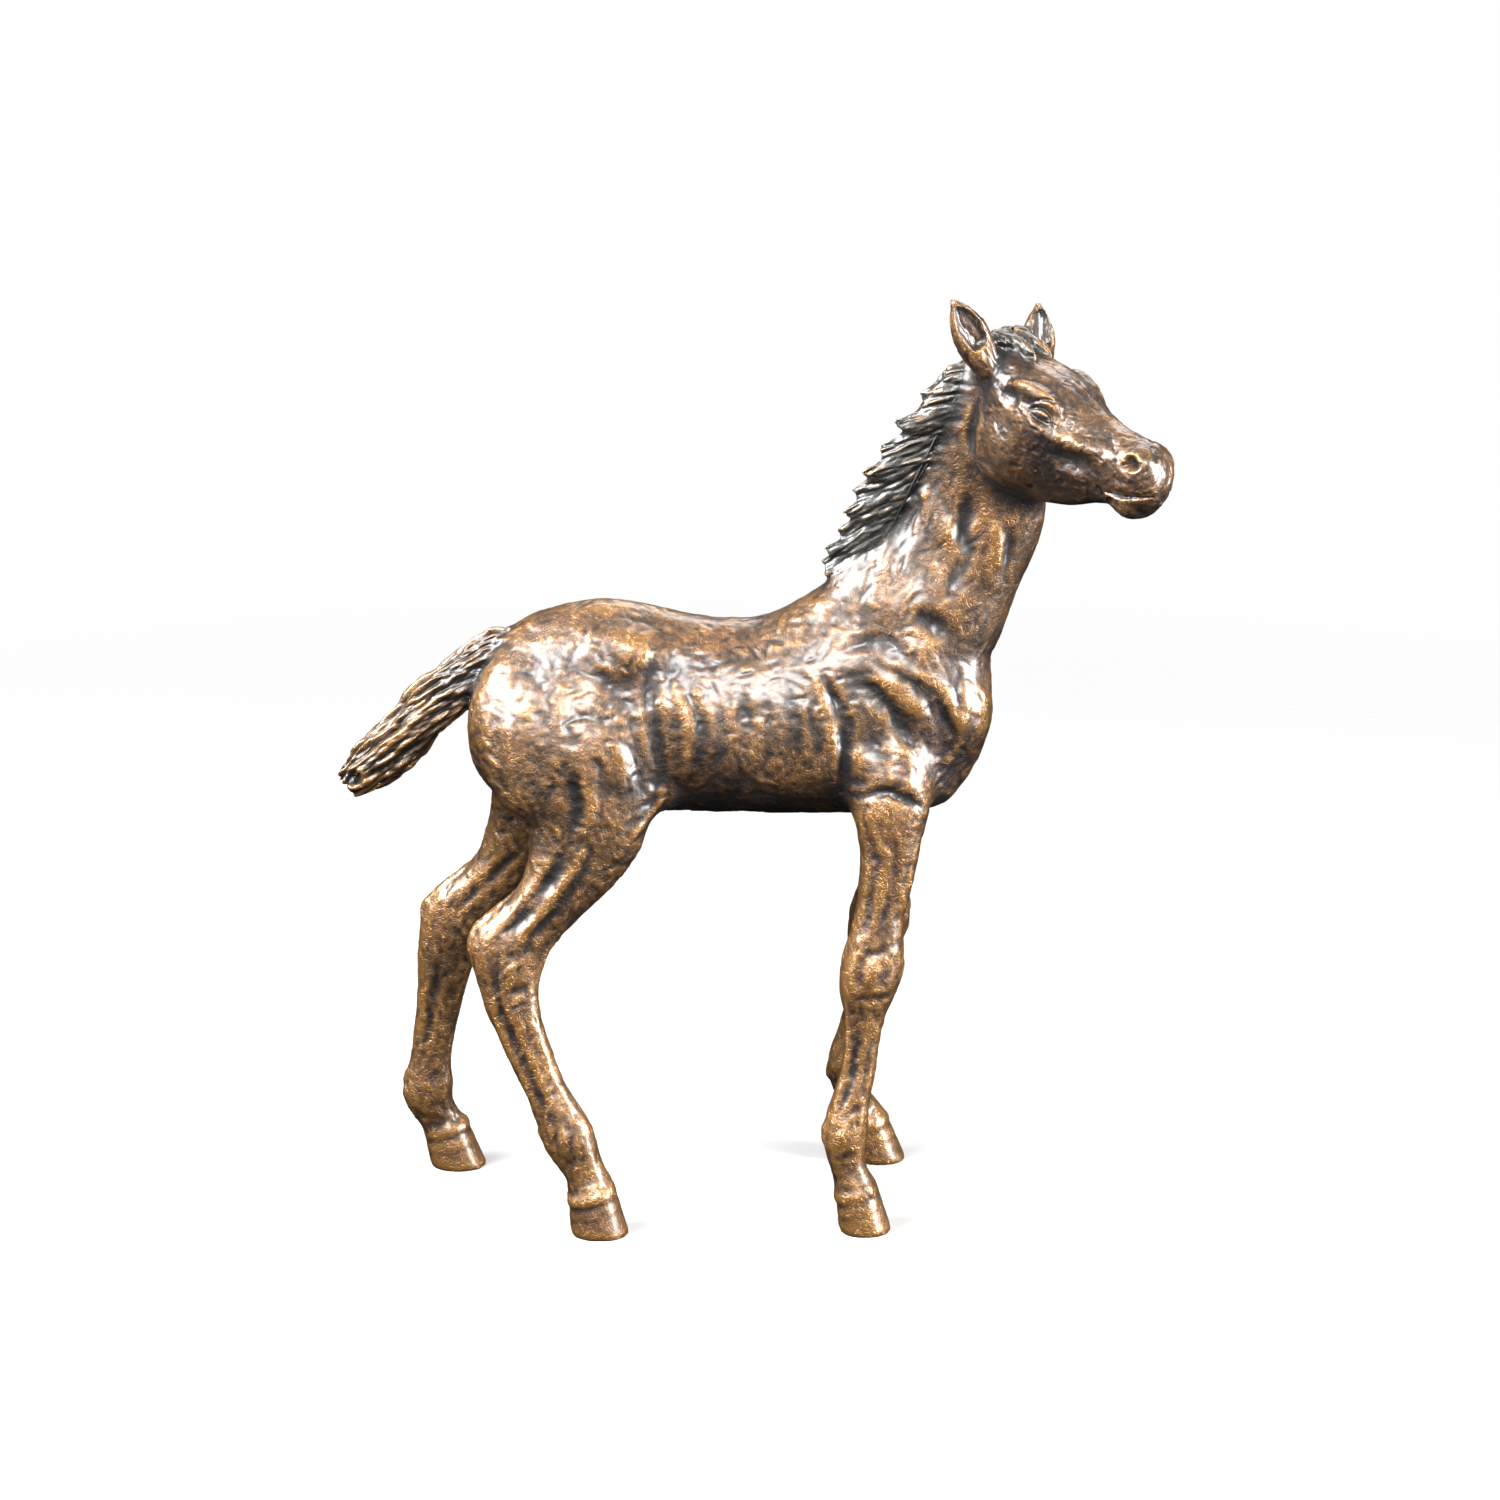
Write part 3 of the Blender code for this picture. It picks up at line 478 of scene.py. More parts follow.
def swelling(place, radii, height):
    """Raises or sinks a soft oval; radii and place are in the scene's frame."""
    away = (skin.points - place) / np.array(radii)
    far = (away * away).sum(1)
    near = far < 1
    skin.height[near] += height * (1 - far[near]) ** 2


BOTH = (-1.0, 1.0)
# Flank, shoulder, thigh and neck, in half millimetres, as body places (x, z): width, depth, shelf, places
BODY_STROKES = (
    ("flank crease", 2.0, -0.36, -0.3, ((-14.0, 91.0), (-14.5, 81.0), (-12.5, 68.0))),
    ("thigh margin", 1.8, 0.24, 0.0, ((-16.5, 85.5), (-15.5, 75.0), (-15.0, 65.0))),
    ("flank fold", 1.6, 0.30, 0.0, ((-11.5, 85.0), (-9.0, 77.0), (-10.0, 69.5))),
    ("flank furrow", 1.6, -0.26, 0.0, ((-9.0, 83.5), (-7.0, 78.0), (-7.5, 72.5))),
    ("elbow crease", 2.0, -1.05, 0.0, ((11.0, 85.0), (14.0, 77.0), (14.0, 67.5))),
    ("shoulder groove", 2.1, -0.72, 0.0, ((15.0, 85.0), (20.0, 81.0), (24.5, 74.0))),
    ("shoulder band", 1.9, 0.45, 0.0, ((17.0, 86.5), (23.5, 82.0), (28.0, 74.0))),
    ("breast groove", 2.0, -0.62, 0.0, ((21.5, 86.0), (27.5, 81.0), (30.0, 73.0))),
    ("breast band", 1.5, 0.40, 0.0, ((24.5, 86.5), (29.5, 81.5), (31.0, 74.5))),
    ("scapula groove", 2.2, -0.45, 0.0, ((13.0, 88.5), (18.5, 90.0), (25.0, 87.0))),
    ("breast margin", 1.6, 0.40, 0.0, ((31.5, 86.0), (31.5, 77.5), (28.0, 69.0))),
    ("forearm fold", 1.3, -0.60, -0.3, ((14.5, 67.0), (20.5, 68.5), (27.0, 65.0))),
    ("shoulder hem", 1.7, 0.28, 0.0, ((15.0, 70.5), (21.0, 71.0), (26.5, 67.5))),
    ("hip hollow", 2.2, -0.36, 0.0, ((-24.0, 87.0), (-20.0, 84.0), (-16.0, 85.5))),
    ("haunch groove", 2.6, -0.22, 0.0, ((-26.5, 84.5), (-24.0, 80.0), (-19.0, 78.5))),
    ("thigh groove", 2.8, -0.24, 0.0, ((-30.0, 82.5), (-31.0, 76.5), (-29.5, 70.0))),
    ("buttock groove", 2.2, -0.22, 0.0, ((-37.0, 81.5), (-37.5, 75.5), (-36.0, 69.5))),
    ("thigh fold", 2.0, 0.36, 0.0, ((-20.5, 76.5), (-18.5, 72.5), (-18.5, 68.0))),
    ("stifle groove", 1.7, -0.32, 0.0, ((-23.0, 74.5), (-21.5, 70.0), (-22.0, 65.5))),
    ("gaskin groove", 2.0, -0.34, 0.0, ((-27.5, 72.5), (-25.5, 67.0), (-26.5, 61.5))),
    ("gaskin ridge", 1.9, 0.34, 0.0, ((-24.5, 71.0), (-23.5, 66.0), (-24.5, 60.5))),
    ("stifle ledge", 1.3, 0.40, 0.0, ((-12.5, 69.5), (-14.5, 65.0), (-18.5, 60.5))),
    ("neck muscle", 2.8, 0.50, 0.0, ((25.0, 113.0), (28.5, 105.0), (27.0, 98.5))),
    ("jugular groove", 2.6, -1.00, 0.0, ((32.5, 115.5), (32.0, 106.5), (29.5, 97.0))),
    ("windpipe", 2.2, 0.45, 0.0, ((35.5, 108.5), (36.0, 104.0), (35.5, 97.5))),
    ("neck furrow", 2.6, -0.28, 0.0, ((23.5, 112.0), (23.0, 106.0), (20.5, 101.0))),
    ("neck base hollow", 2.8, -0.60, 0.0, ((24.0, 94.5), (27.5, 92.5), (30.5, 90.0))),
    ("throat furrow", 1.5, -0.30, 0.0, ((38.5, 107.5), (38.0, 103.0), (36.5, 98.5))),
)
# The hollows between the ribs: how many, the first one's x, the step to the next, ends and forward bow
RIB_HOLLOWS = 5
RIB_START, RIB_STEP = -5.0, 3.6
RIB_TOP, RIB_BOTTOM, RIB_BOW = 84.0, 70.5, 0.9
RIB_WIDTH, RIB_DEPTH = 1.7, -0.34
FAINT_WIDTH, FAINT_DEPTH, FAINT_SHORTER = 1.5, -0.24, 1.8
# The groove down the middle of the breast, as body places (x, z)
BREAST_LINE = ((36.0, 96.0), (37.4, 88.0), (37.0, 78.0), (34.0, 70.0), (30.0, 65.0))
BREAST_WIDTH, BREAST_DEPTH = 1.8, -0.3
# Soft swellings and hollows of the body, on both sides: x, distance out, z, radii, height
BODY_SWELLINGS = (
    ("point of hip", (-17.0, 9.6, 89.4), (4.4, 4.4, 3.8), 0.48),
    ("haunch", (-24.5, 9.6, 84.0), (7.0, 5.0, 6.5), 0.45),
    ("flank hollow", (-10.6, 10.6, 86.2), (4.6, 4.4, 5.0), -0.55),
    ("belly crest", (-12.2, 9.4, 66.6), (3.4, 3.4, 3.2), 0.35),
    ("stifle", (-18.6, 9.6, 65.0), (4.6, 4.0, 4.4), 0.50),
    ("thigh", (-25.0, 12.0, 74.0), (6.0, 4.6, 8.0), 0.40),
    ("elbow", (16.4, 10.0, 72.4), (3.4, 3.6, 3.6), 0.70),
    ("upper arm", (21.8, 10.0, 73.6), (4.0, 3.6, 4.2), 0.45),
    ("shoulder point", (28.4, 8.0, 80.4), (2.6, 3.4, 4.8), 0.50),
    ("withers", (12.6, 4.0, 95.4), (6.0, 4.4, 4.0), 0.30),
    ("neck base", (21.0, 7.0, 96.0), (5.4, 4.4, 6.0), 0.35),
    ("croup hollow", (-30.6, 4.6, 91.0), (5.0, 3.4, 3.4), -0.25),
)
# The head, as head places (x, z) on both sides
HEAD_STROKES = (
    ("jowl edge", 1.6, 0.28, ((3.4, -9.0), (4.2, -12.6), (6.2, -15.6), (9.4, -17.4), (13.0, -17.6))),
    ("behind the jowl", 1.4, -0.50, ((2.0, -7.6), (2.6, -12.0), (4.2, -15.8))),
    ("brow", 1.5, 0.85, ((6.6, -1.9), (9.2, -1.0), (11.8, -0.9), (14.4, -1.6), (16.2, -2.6))),
    ("temple", 1.9, -0.5, ((5.6, -3.6), (7.8, -3.6), (9.8, -3.3))),
    ("upper lid", 0.55, 0.16, ((11.2, -3.3), (12.0, -2.3), (13.4, -1.9), (14.9, -2.4), (15.9, -3.6))),
    ("lid fold", 0.5, -0.35, ((11.6, -2.4), (12.8, -1.5), (14.2, -1.5), (15.4, -2.3))),
    ("upper slit", 0.5, -0.6, ((11.5, -3.5), (12.4, -2.8), (13.5, -2.5), (14.7, -2.9), (15.6, -3.9))),
    ("lower slit", 0.38, -0.34, ((11.5, -3.5), (12.4, -4.0), (13.6, -4.3), (14.8, -4.3), (15.6, -3.9))),
    ("lower lid", 0.55, 0.14, ((11.6, -4.3), (12.9, -5.0), (14.4, -5.1), (15.6, -4.7))),
    ("face crest", 1.8, 0.36, ((14.6, -6.0), (17.4, -5.6), (20.4, -5.0), (23.2, -4.6))),
    ("under the crest", 2.0, -0.36, ((15.0, -8.8), (18.4, -8.2), (21.8, -7.4), (25.0, -6.8))),
    ("cheek furrow", 1.5, -0.25, ((11.0, -8.6), (12.6, -11.0), (13.4, -13.6), (12.8, -15.6))),
    ("cheek band", 1.6, 0.20, ((17.0, -11.0), (20.0, -10.2), (23.6, -9.4))),
    ("jaw line", 1.2, -0.22, ((16.0, -14.6), (19.6, -13.4), (23.2, -12.2))),
    ("nose side", 1.6, -0.25, ((20.6, -2.7), (23.4, -2.8), (26.0, -3.3))),
    ("nostril wing", 1.2, 0.26, ((27.6, -2.2), (26.8, -3.5), (27.4, -5.2), (29.0, -5.9), (30.6, -5.4))),
    ("nostril front", 1.1, 0.24, ((27.8, -2.1), (29.4, -1.7), (30.9, -2.4), (31.4, -3.8))),
    ("mouth", 0.45, -0.75, (
        (25.2, -10.2), (26.8, -10.0), (28.6, -9.5), (30.2, -8.8), (31.8, -8.0), (33.4, -7.2),
    )),
    ("mouth corner", 0.70, -0.45, ((24.6, -9.6), (25.4, -10.4), (25.8, -11.3))),
    ("upper lip", 1.1, 0.25, ((27.4, -8.0), (29.6, -7.4), (31.8, -7.0))),
    ("chin furrow", 0.8, -0.35, ((26.4, -11.9), (27.0, -11.0), (27.4, -10.4))),
)
HEAD_PITS = (
    # x, distance out, z, radii, depth
    ("nostril", (29.2, 3.4, -3.6), (1.75, 2.4, 1.40), -2.7),
    ("nostril slot", (28.3, 3.8, -4.5), (0.9, 1.3, 0.75), -0.5),
    ("eye socket", (13.4, 6.0, -3.6), (3.0, 2.6, 2.1), -0.75),
    ("under the brow", (11.0, 6.2, -3.0), (1.8, 2.0, 1.2), -0.5),
    ("eye corner", (15.7, 5.6, -4.0), (0.7, 1.2, 0.5), -0.4),
    ("eyeball", (13.5, 6.2, -3.4), (1.6, 1.9, 1.0), 0.42),
    ("jaw pit", (14.2, 4.2, -15.4), (0.8, 1.2, 0.7), -0.4),
    ("jowl", (8.6, 6.6, -11.0), (4.6, 3.4, 4.6), 0.45),
    ("cheek hollow", (19.6, 5.0, -8.0), (4.6, 2.4, 2.2), -0.30),
    ("lower lip", (30.0, 1.9, -10.9), (2.6, 2.0, 1.4), 0.35),
    ("muzzle", (31.4, 2.2, -5.6), (2.2, 2.2, 2.6), 0.25),
    ("forehead", (9.0, 2.8, 0.6), (4.0, 2.6, 1.8), 0.25),
)
FORELEG_STROKES = (
    # width, depth, places (height, bearing)
    (1.5, -0.45, ((63.0, 76.0), (58.0, 80.0), (53.0, 82.0), (47.0, 78.0))),
    (1.4, -0.38, ((62.0, 116.0), (56.0, 120.0), (51.0, 124.0), (46.0, 122.0))),
    (1.4, -0.30, ((58.0, -84.0), (52.0, -88.0), (46.0, -84.0))),
    (1.4, 0.34, ((62.0, 98.0), (56.0, 100.0), (51.0, 103.0), (46.0, 104.0))),
    (1.3, 0.33, ((60.0, 30.0), (53.0, 32.0), (46.4, 30.0))),
    (1.3, -0.32, ((44.4, 34.0), (44.2, 62.0), (43.4, 92.0), (43.8, 120.0))),
    (1.3, -0.29, ((36.4, 28.0), (36.0, 60.0), (36.6, 96.0), (36.0, 128.0))),
    (1.5, -0.41, ((43.4, 112.0), (40.6, 118.0), (37.6, 114.0))),
    (1.3, -0.32, ((42.6, 66.0), (40.4, 60.0), (38.4, 66.0))),
    (1.3, -0.30, ((43.0, -60.0), (40.0, -66.0), (37.0, -62.0))),
    (1.2, 0.47, ((44.2, 6.0), (41.0, 2.0), (37.6, 4.0))),
    (1.1, 0.38, ((42.6, 88.0), (40.2, 90.0), (38.0, 88.0))),
    (1.1, 0.47, ((45.4, 172.0), (43.0, 180.0), (40.6, 176.0))),
    (1.3, -0.41, ((35.4, 116.0), (30.0, 114.0), (24.0, 114.0), (18.6, 120.0))),
    (1.3, -0.38, ((35.0, -112.0), (28.0, -112.0), (19.4, -116.0))),
    (1.2, -0.20, ((33.0, 58.0), (27.0, 60.0), (21.0, 62.0))),
    (1.0, 0.33, ((34.0, 150.0), (27.0, 152.0), (20.0, 150.0))),
    (1.3, 0.40, ((17.6, 92.0), (15.6, 100.0), (13.8, 112.0))),
    (1.2, 0.38, ((16.6, 166.0), (14.8, 180.0), (13.4, 168.0))),
    (1.3, -0.27, ((13.0, 60.0), (12.2, 90.0), (11.6, 124.0))),
    (1.2, -0.20, ((19.4, 50.0), (19.0, 84.0), (18.4, 110.0))),
)
HINDLEG_STROKES = (
    (2.0, -0.63, ((59.0, 124.0), (55.0, 126.0), (50.0, 128.0), (45.6, 128.0))),
    (1.8, -0.41, ((60.0, 74.0), (54.6, 76.0), (49.0, 72.0), (45.0, 64.0))),
    (1.5, -0.45, ((55.0, -118.0), (50.0, -122.0), (44.0, -126.0))),
    (1.7, 0.45, ((60.0, 98.0), (55.0, 98.0), (50.0, 96.0), (45.0, 90.0))),
    (1.2, 0.59, ((52.0, 176.0), (48.0, 178.0), (44.4, 180.0), (40.4, 178.0))),
    (1.5, -0.45, ((46.4, 134.0), (43.4, 130.0), (40.0, 124.0), (36.8, 118.0))),
    (1.4, -0.32, ((44.0, 40.0), (43.2, 66.0), (42.0, 96.0))),
    (1.3, -0.30, ((38.0, 30.0), (37.4, 62.0), (37.6, 92.0))),
    (1.3, 0.47, ((46.0, 14.0), (42.0, 10.0), (37.6, 6.0))),
    (1.1, 0.39, ((44.0, 86.0), (41.0, 84.0), (38.4, 86.0))),
    (1.4, -0.48, ((36.4, 122.0), (31.0, 118.0), (25.0, 116.0), (18.4, 120.0))),
    (1.3, -0.41, ((36.0, -118.0), (28.0, -116.0), (19.0, -118.0))),
    (1.2, -0.22, ((34.0, 56.0), (28.0, 58.0), (20.0, 56.0))),
    (1.0, 0.34, ((35.0, 150.0), (28.0, 150.0), (20.0, 150.0))),
    (1.3, 0.43, ((17.4, 92.0), (15.4, 102.0), (13.4, 114.0))),
    (1.2, 0.38, ((16.4, 166.0), (14.6, 180.0), (13.0, 168.0))),
    (1.3, -0.27, ((12.8, 60.0), (12.0, 90.0), (11.4, 124.0))),
)
HOOF_RINGS = (
    # height, width, depth
    (5.0, 0.95, -0.09),
    (6.3, 1.40, 0.20),
    (2.9, 0.60, -0.05),
)
CORONET_SLOPE = 0.9  # the rings stand higher at the toe than at the heel
LEGS = ("foreleg_right", "foreleg_left", "hindleg_right", "hindleg_left")


def shaken(places, amount):
    """The far side's strokes aren't an exact mirror of the near side's."""
    return [tuple(value + rng.normal(0, amount) for value in place) for place in places]


def rib_strokes():
    """The hollows between the ribs, every other one fainter and shorter."""
    for k in range(RIB_HOLLOWS):
        x, faint = RIB_START + k * RIB_STEP, k % 2 == 0
        top, bottom = RIB_TOP, RIB_BOTTOM
        if faint:
            top, bottom = top - FAINT_SHORTER, bottom + FAINT_SHORTER
        places = ((x, top), (x + RIB_BOW, (top + bottom) / 2), (x, bottom))
        yield "rib", FAINT_WIDTH if faint else RIB_WIDTH, FAINT_DEPTH if faint else RIB_DEPTH, 0.0, places


def work_body():
    for _, width, depth, shelf, places in (*BODY_STROKES, *rib_strokes()):
        for side in BOTH:
            laid = on_side(places if side < 0 else shaken(places, 0.25), side)
            stroke(laid, width, depth, shelf * -side)
    for _, (x, out, z), radii, height in BODY_SWELLINGS:
        for side in BOTH:
            swelling(ORIGIN + np.array((x, side * out, z)), radii, height)
    line = curve_through([(x, 0.0, z) for x, z in BREAST_LINE]) + ORIGIN
    starts = line + np.array((8.0, 0, 0))
    stroke(cast(starts, np.tile([-1, 0, 0], (len(line), 1)), 14.0), BREAST_WIDTH, BREAST_DEPTH)


def work_head():
    for _, width, depth, places in HEAD_STROKES:
        for side in BOTH:
            stroke(on_head(places if side < 0 else shaken(places, 0.06), side), width, depth)
    for _, (x, out, z), radii, height in HEAD_PITS:
        for side in BOTH:
            turned = (head_places(skin.points) - np.array((x, side * out, z))) / np.array(radii)
            far = (turned * turned).sum(1)
            near = far < 1
            skin.height[near] += height * (1 - far[near]) ** 2
    for places, width, depth in (
        (((12.0, 0.0), (17.0, 0.2), (23.0, 0.0)), 1.3, 0.18),
        (((24.6, -1.6), (27.0, 0.0), (24.6, 1.6)), 0.8, -0.18),
    ):
        stroke(over_head(places), width, depth)


def work_legs():
    for name in LEGS:
        leg = Leg(name)
        table = FORELEG_STROKES if name.startswith("fore") else HINDLEG_STROKES
        for width, depth, places in table:
            stroke(leg.on(shaken(places, 0.5)), width, depth)
        for height, width, depth in HOOF_RINGS:
            ring = [(height + CORONET_SLOPE * math.cos(math.radians(a)), a) for a in range(-180, 181, 30)]
            stroke(leg.on(ring), width, depth, whole=True)
        stroke(leg.on(((6.4, 180.0), (4.4, 180.0), (1.4, 180.0))), 0.8, -0.45)



def scratch(place, facing, way, long, wide, depth):
    """Draws one strand: a short straight furrow, or a rib where depth is above zero."""
    way = unit(way - facing * (way @ facing))
    across = np.cross(facing, way)
    near = np.array([i for _, i, _ in skin.finder.find_range(place, long)])
    if not len(near):
        return
    away = skin.points[near] - place
    u, v = away @ way / long, away @ across / wide
    mask = np.clip(1 - u * u, 0, 1) * np.clip(1 - v * v, 0, 1) * (skin.normals[near] @ facing > 0.4)
    skin.height[near] += mask * depth


def turned_ways(ways, facing, wander):
    """The ways, each turned about its own facing by a random angle, in degrees."""
    angle = np.radians(rng.normal(0, wander, len(ways)))[:, None]
    return ways * np.cos(angle) + np.cross(facing, ways) * np.sin(angle)


NECK_WAY = (0.42, 0.0, 0.90)
# Small facets all over: castings, one for so many points, length, width, level, tilt, wander, way
FACETS = (
    (("torso",), 13, (0.9, 2.4), (0.40, 0.9), 0.062, 0.042, 40.0, (0.96, 0.0, -0.28)),
    (("neck_and_head",), 16, (1.1, 2.6), (0.4, 0.8), 0.050, 0.035, 22.0, NECK_WAY),
    (LEGS, 12, (0.8, 2.0), (0.4, 0.8), 0.060, 0.040, 25.0, (0.05, 0.0, 1.0)),
)
FACE_FACETS = (20, (0.5, 1.3), (0.35, 0.7), 0.05, 0.03, 35.0)
# Strands: casting, one for so many points, length, width, depth, wander
STRANDS = (
    ("tail", 16, (2.0, 5.0), (0.35, 0.75), 0.17, 8.0),
    ("mane", 18, (1.6, 3.6), (0.28, 0.50), 0.10, 7.0),
    ("forelock", 16, (1.0, 2.4), (0.28, 0.45), 0.10, 10.0),
    ("ear_right", 30, (0.8, 1.8), (0.25, 0.45), 0.07, 14.0),
    ("ear_left", 30, (0.8, 1.8), (0.25, 0.45), 0.07, 14.0),
)


def strand_ways(name, points):
    """The way the hair lies at these points of a casting."""
    low, high = (np.array(corner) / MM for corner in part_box(name))
    if name == "tail":
        along = np.clip((high[0] - points[:, 0]) / (high[0] - low[0]), 0, 1)[:, None]
        return unit(np.array((-1.0, 0.0, -0.35)) * (1 - along) + np.array((-0.72, 0.0, -0.62)) * along)
    if name == "mane":
        up = np.clip((points[:, 2] - low[2]) / (high[2] - low[2]), 0, 1)[:, None]
        return unit(np.array((-0.80, 0.0, -0.55)) * (1 - up) + np.array((-0.92, 0.0, -0.10)) * up)
    if name == "forelock":
        return np.tile(HEAD_TURN @ np.array((0.95, 0.1, -0.2)), (len(points), 1))
    tall = np.array((-0.42, -0.1, 0.9)) if name == "ear_right" else np.array((0.0, 0.2, 0.98))
    return np.tile(tall, (len(points), 1))


def draw_strands():
    for name, every, longs, wides, depth, wander in STRANDS:
        members = np.flatnonzero(skin.of(name))
        chosen = rng.choice(members, len(members) // every, replace=False)
        facing = skin.normals[chosen]
        ways = turned_ways(strand_ways(name, skin.points[chosen]), facing, wander)
        for place, normal, way in zip(skin.points[chosen], facing, ways):
            deep = depth * rng.uniform(0.4, 1.0) * (-1 if rng.random() < 0.62 else 0.6)
            scratch(place, normal, way, rng.uniform(*longs), rng.uniform(*wides), deep)


def press_facets(members, every, longs, wides, level, tilt, wander, way):
    chosen = rng.choice(members, len(members) // every, replace=False)
    facing = skin.normals[chosen]
    ways = turned_ways(np.tile(unit(np.array(way, float)), (len(chosen), 1)), facing, wander)
    for place, normal, lie in zip(skin.points[chosen], facing, ways):
        sizes = rng.uniform(*longs), rng.uniform(*wides)
        dab(place, normal, lie, *sizes, rng.normal(0, level), rng.normal(0, tilt), 0.45, 0.8)


def press_all_facets():
    on_face = (head_places(skin.points)[:, 0] > 3) & skin.of("neck_and_head")
    on_face &= head_places(skin.points)[:, 2] > -20
    for names, *rest in FACETS:
        press_facets(np.flatnonzero(skin.of(*names) & ~on_face & (skin.points[:, 2] > 6.5)), *rest)
    press_facets(np.flatnonzero(on_face), *FACE_FACETS, HEAD_TURN[:, 0])


def roughen():
    """Uneven wax at three sizes, held back on the hooves."""
    body = 0.15 + 0.85 * smoothstep(4.5, 8.0, skin.points[:, 2])
    calm = 1 - 0.6 * skin.softened(skin.of("neck_and_head").astype(float), 10)
    skin.height += body * calm * 0.12 * noise(skin.points, 5.5, 3)
    skin.height += body * calm * 0.042 * noise(skin.points, 2.3, 5)
    skin.height += body * 0.022 * noise(skin.points, 1.0, 7)


def roll_tail_tip():
    """The tail ends in a rolled lock with a small hollow in it."""
    low, high = (np.array(corner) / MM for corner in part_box("tail"))
    centre = np.array((low[0] + 3.2, ORIGIN[1], low[2] + 3.6))
    for side in BOTH:
        place, facing = cast([centre + (0, side * 12, 0)], [(0, -side, 0)])
        if len(place):
            swelling(place[0], (2.9, 2.4, 2.9), 0.60)
            swelling(place[0] + (-0.2, 0, 0.1), (1.7, 2.8, 1.7), -2.0)
    swelling(np.array((low[0] + 0.3, ORIGIN[1], low[2] + 3.4)), (2.0, 1.8, 1.8), -1.1)


def wear_and_shade_of():
    """How worn each point is, from 0 in the hollows to 1 on the raised edges; faces turned down are made
    darker and faces turned up a little lighter, which is painted shade and painted light.
    """
    fine = ((skin.softened(skin.points, 7) - skin.points) * skin.normals).sum(1)
    middling = ((skin.softened(skin.points, 40) - skin.points) * skin.normals).sum(1)
    broad = ((skin.softened(skin.points, 260) - skin.points) * skin.normals).sum(1)
    level = 0.48 - 3.0 * fine - 1.0 * middling - 0.18 * broad
    # painted shade and painted light: darker on faces turned down, a little lighter on faces turned up
    level += 0.08 * skin.normals[:, 2] - 0.30 * smoothstep(0.0, 0.8, -skin.normals[:, 2])
    return np.clip(skin.softened(level, 1), 0, 1)


# ---------------------------------------------------------------- parting the skin


def seam_planes():
    """Each seam: a point, the plane's normal towards the casting cut off, and the box it cuts in."""
    for name in LEGS:
        low, high = (np.array(corner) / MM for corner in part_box(name))
        z = (FORELEG_SEAM_Z if name.startswith("fore") else HINDLEG_SEAM_Z) + ORIGIN[2]
        low, high = low - 3.0, high + 3.0
        high[2] = z + 3.0
        yield name, np.array((0, 0, z)), np.array((0.0, 0.0, -1.0)), low, high
    tilt = np.array((math.sin(NECK_SEAM_TILT), 0.0, math.cos(NECK_SEAM_TILT)))
    box = np.array((2.0, -40.0, 60.0)) + ORIGIN, np.array((70.0, 40.0, 160.0)) + ORIGIN
    yield "neck_and_head", np.array(SLEEVE_PLACE) + ORIGIN, tilt, *box


def cut_seams(mesh):
    """Adds edges along the seam planes, so that the castings part on straight lines."""
    bm = bmesh.new()
    bm.from_mesh(mesh)
    for _, point, normal, low, high in seam_planes():
        faces = []
        for face in bm.faces:
            x, y, z = face.verts[0].co / MM
            off = (x - point[0]) * normal[0] + (z - point[2]) * normal[2]
            if abs(off) < 1.2 and low[0] < x < high[0] and low[1] < y < high[1] and low[2] < z < high[2]:
                faces.append(face)
        edges = {edge for face in faces for edge in face.edges}
        verts = {vert for edge in edges for vert in edge.verts}
        geometry = [*verts, *edges, *faces]
        bmesh.ops.bisect_plane(
            bm, geom=geometry, dist=1e-7, plane_co=Vector(point) * MM, plane_no=Vector(normal)
        )
    bm.to_mesh(mesh)
    bm.free()
    return mesh


def values_of(mesh, name):
    values = np.empty(len(mesh.vertices), np.float32)
    mesh.attributes[name].data.foreach_get("value", values)
    return values


def store(mesh, name, values):
    attribute = mesh.attributes.new(name, "FLOAT", "POINT")
    attribute.data.foreach_set("value", np.asarray(values, np.float32))


def whole_mesh():
    """The worked skin as one mesh, with its worn patina and painted shade, its hair and its separate forms as
    attributes.
    """
    mesh = skin.mesh
    mesh.vertices.foreach_set("co", (skin.points * MM).astype(np.float32).ravel())
    store(mesh, "wear_and_shade", wear_and_shade_of())
    hair = skin.softened(skin.of("mane", "forelock").astype(float), 14)
    tail = skin.softened(skin.of("tail").astype(float), 14)
    store(mesh, "hair", np.clip(hair + 0.35 * tail, 0, 1))
    form = np.zeros(len(skin.points))
    for number, name in enumerate(FREE_FORMS):
        form[skin.softened(skin.of(name).astype(float), 6) > 0.5] = number + 1
    store(mesh, "form", form)
    return cut_seams(mesh)


def casting_of_faces(mesh, corners, starts, sizes):
    """The name of the casting each face belongs to."""
    form = np.round(values_of(mesh, "form")).astype(int)[corners]
    lowest, highest = np.minimum.reduceat(form, starts), np.maximum.reduceat(form, starts)
    points = np.empty(len(mesh.vertices) * 3)
    mesh.vertices.foreach_get("co", points)
    points = points.reshape(-1, 3) / MM
    centres = np.add.reduceat(points[corners], starts) / sizes[:, None]
    owner = np.full(len(starts), CASTINGS.index("torso"))
    for name, point, normal, low, high in seam_planes():
        inside = np.all((centres > low) & (centres < high), axis=1) & ((centres - point) @ normal > 0)
        owner[inside] = CASTINGS.index(name)
    for number, name in enumerate(FREE_FORMS):
        owner[(lowest == number + 1) & (highest == number + 1)] = CASTINGS.index(name)
    return owner


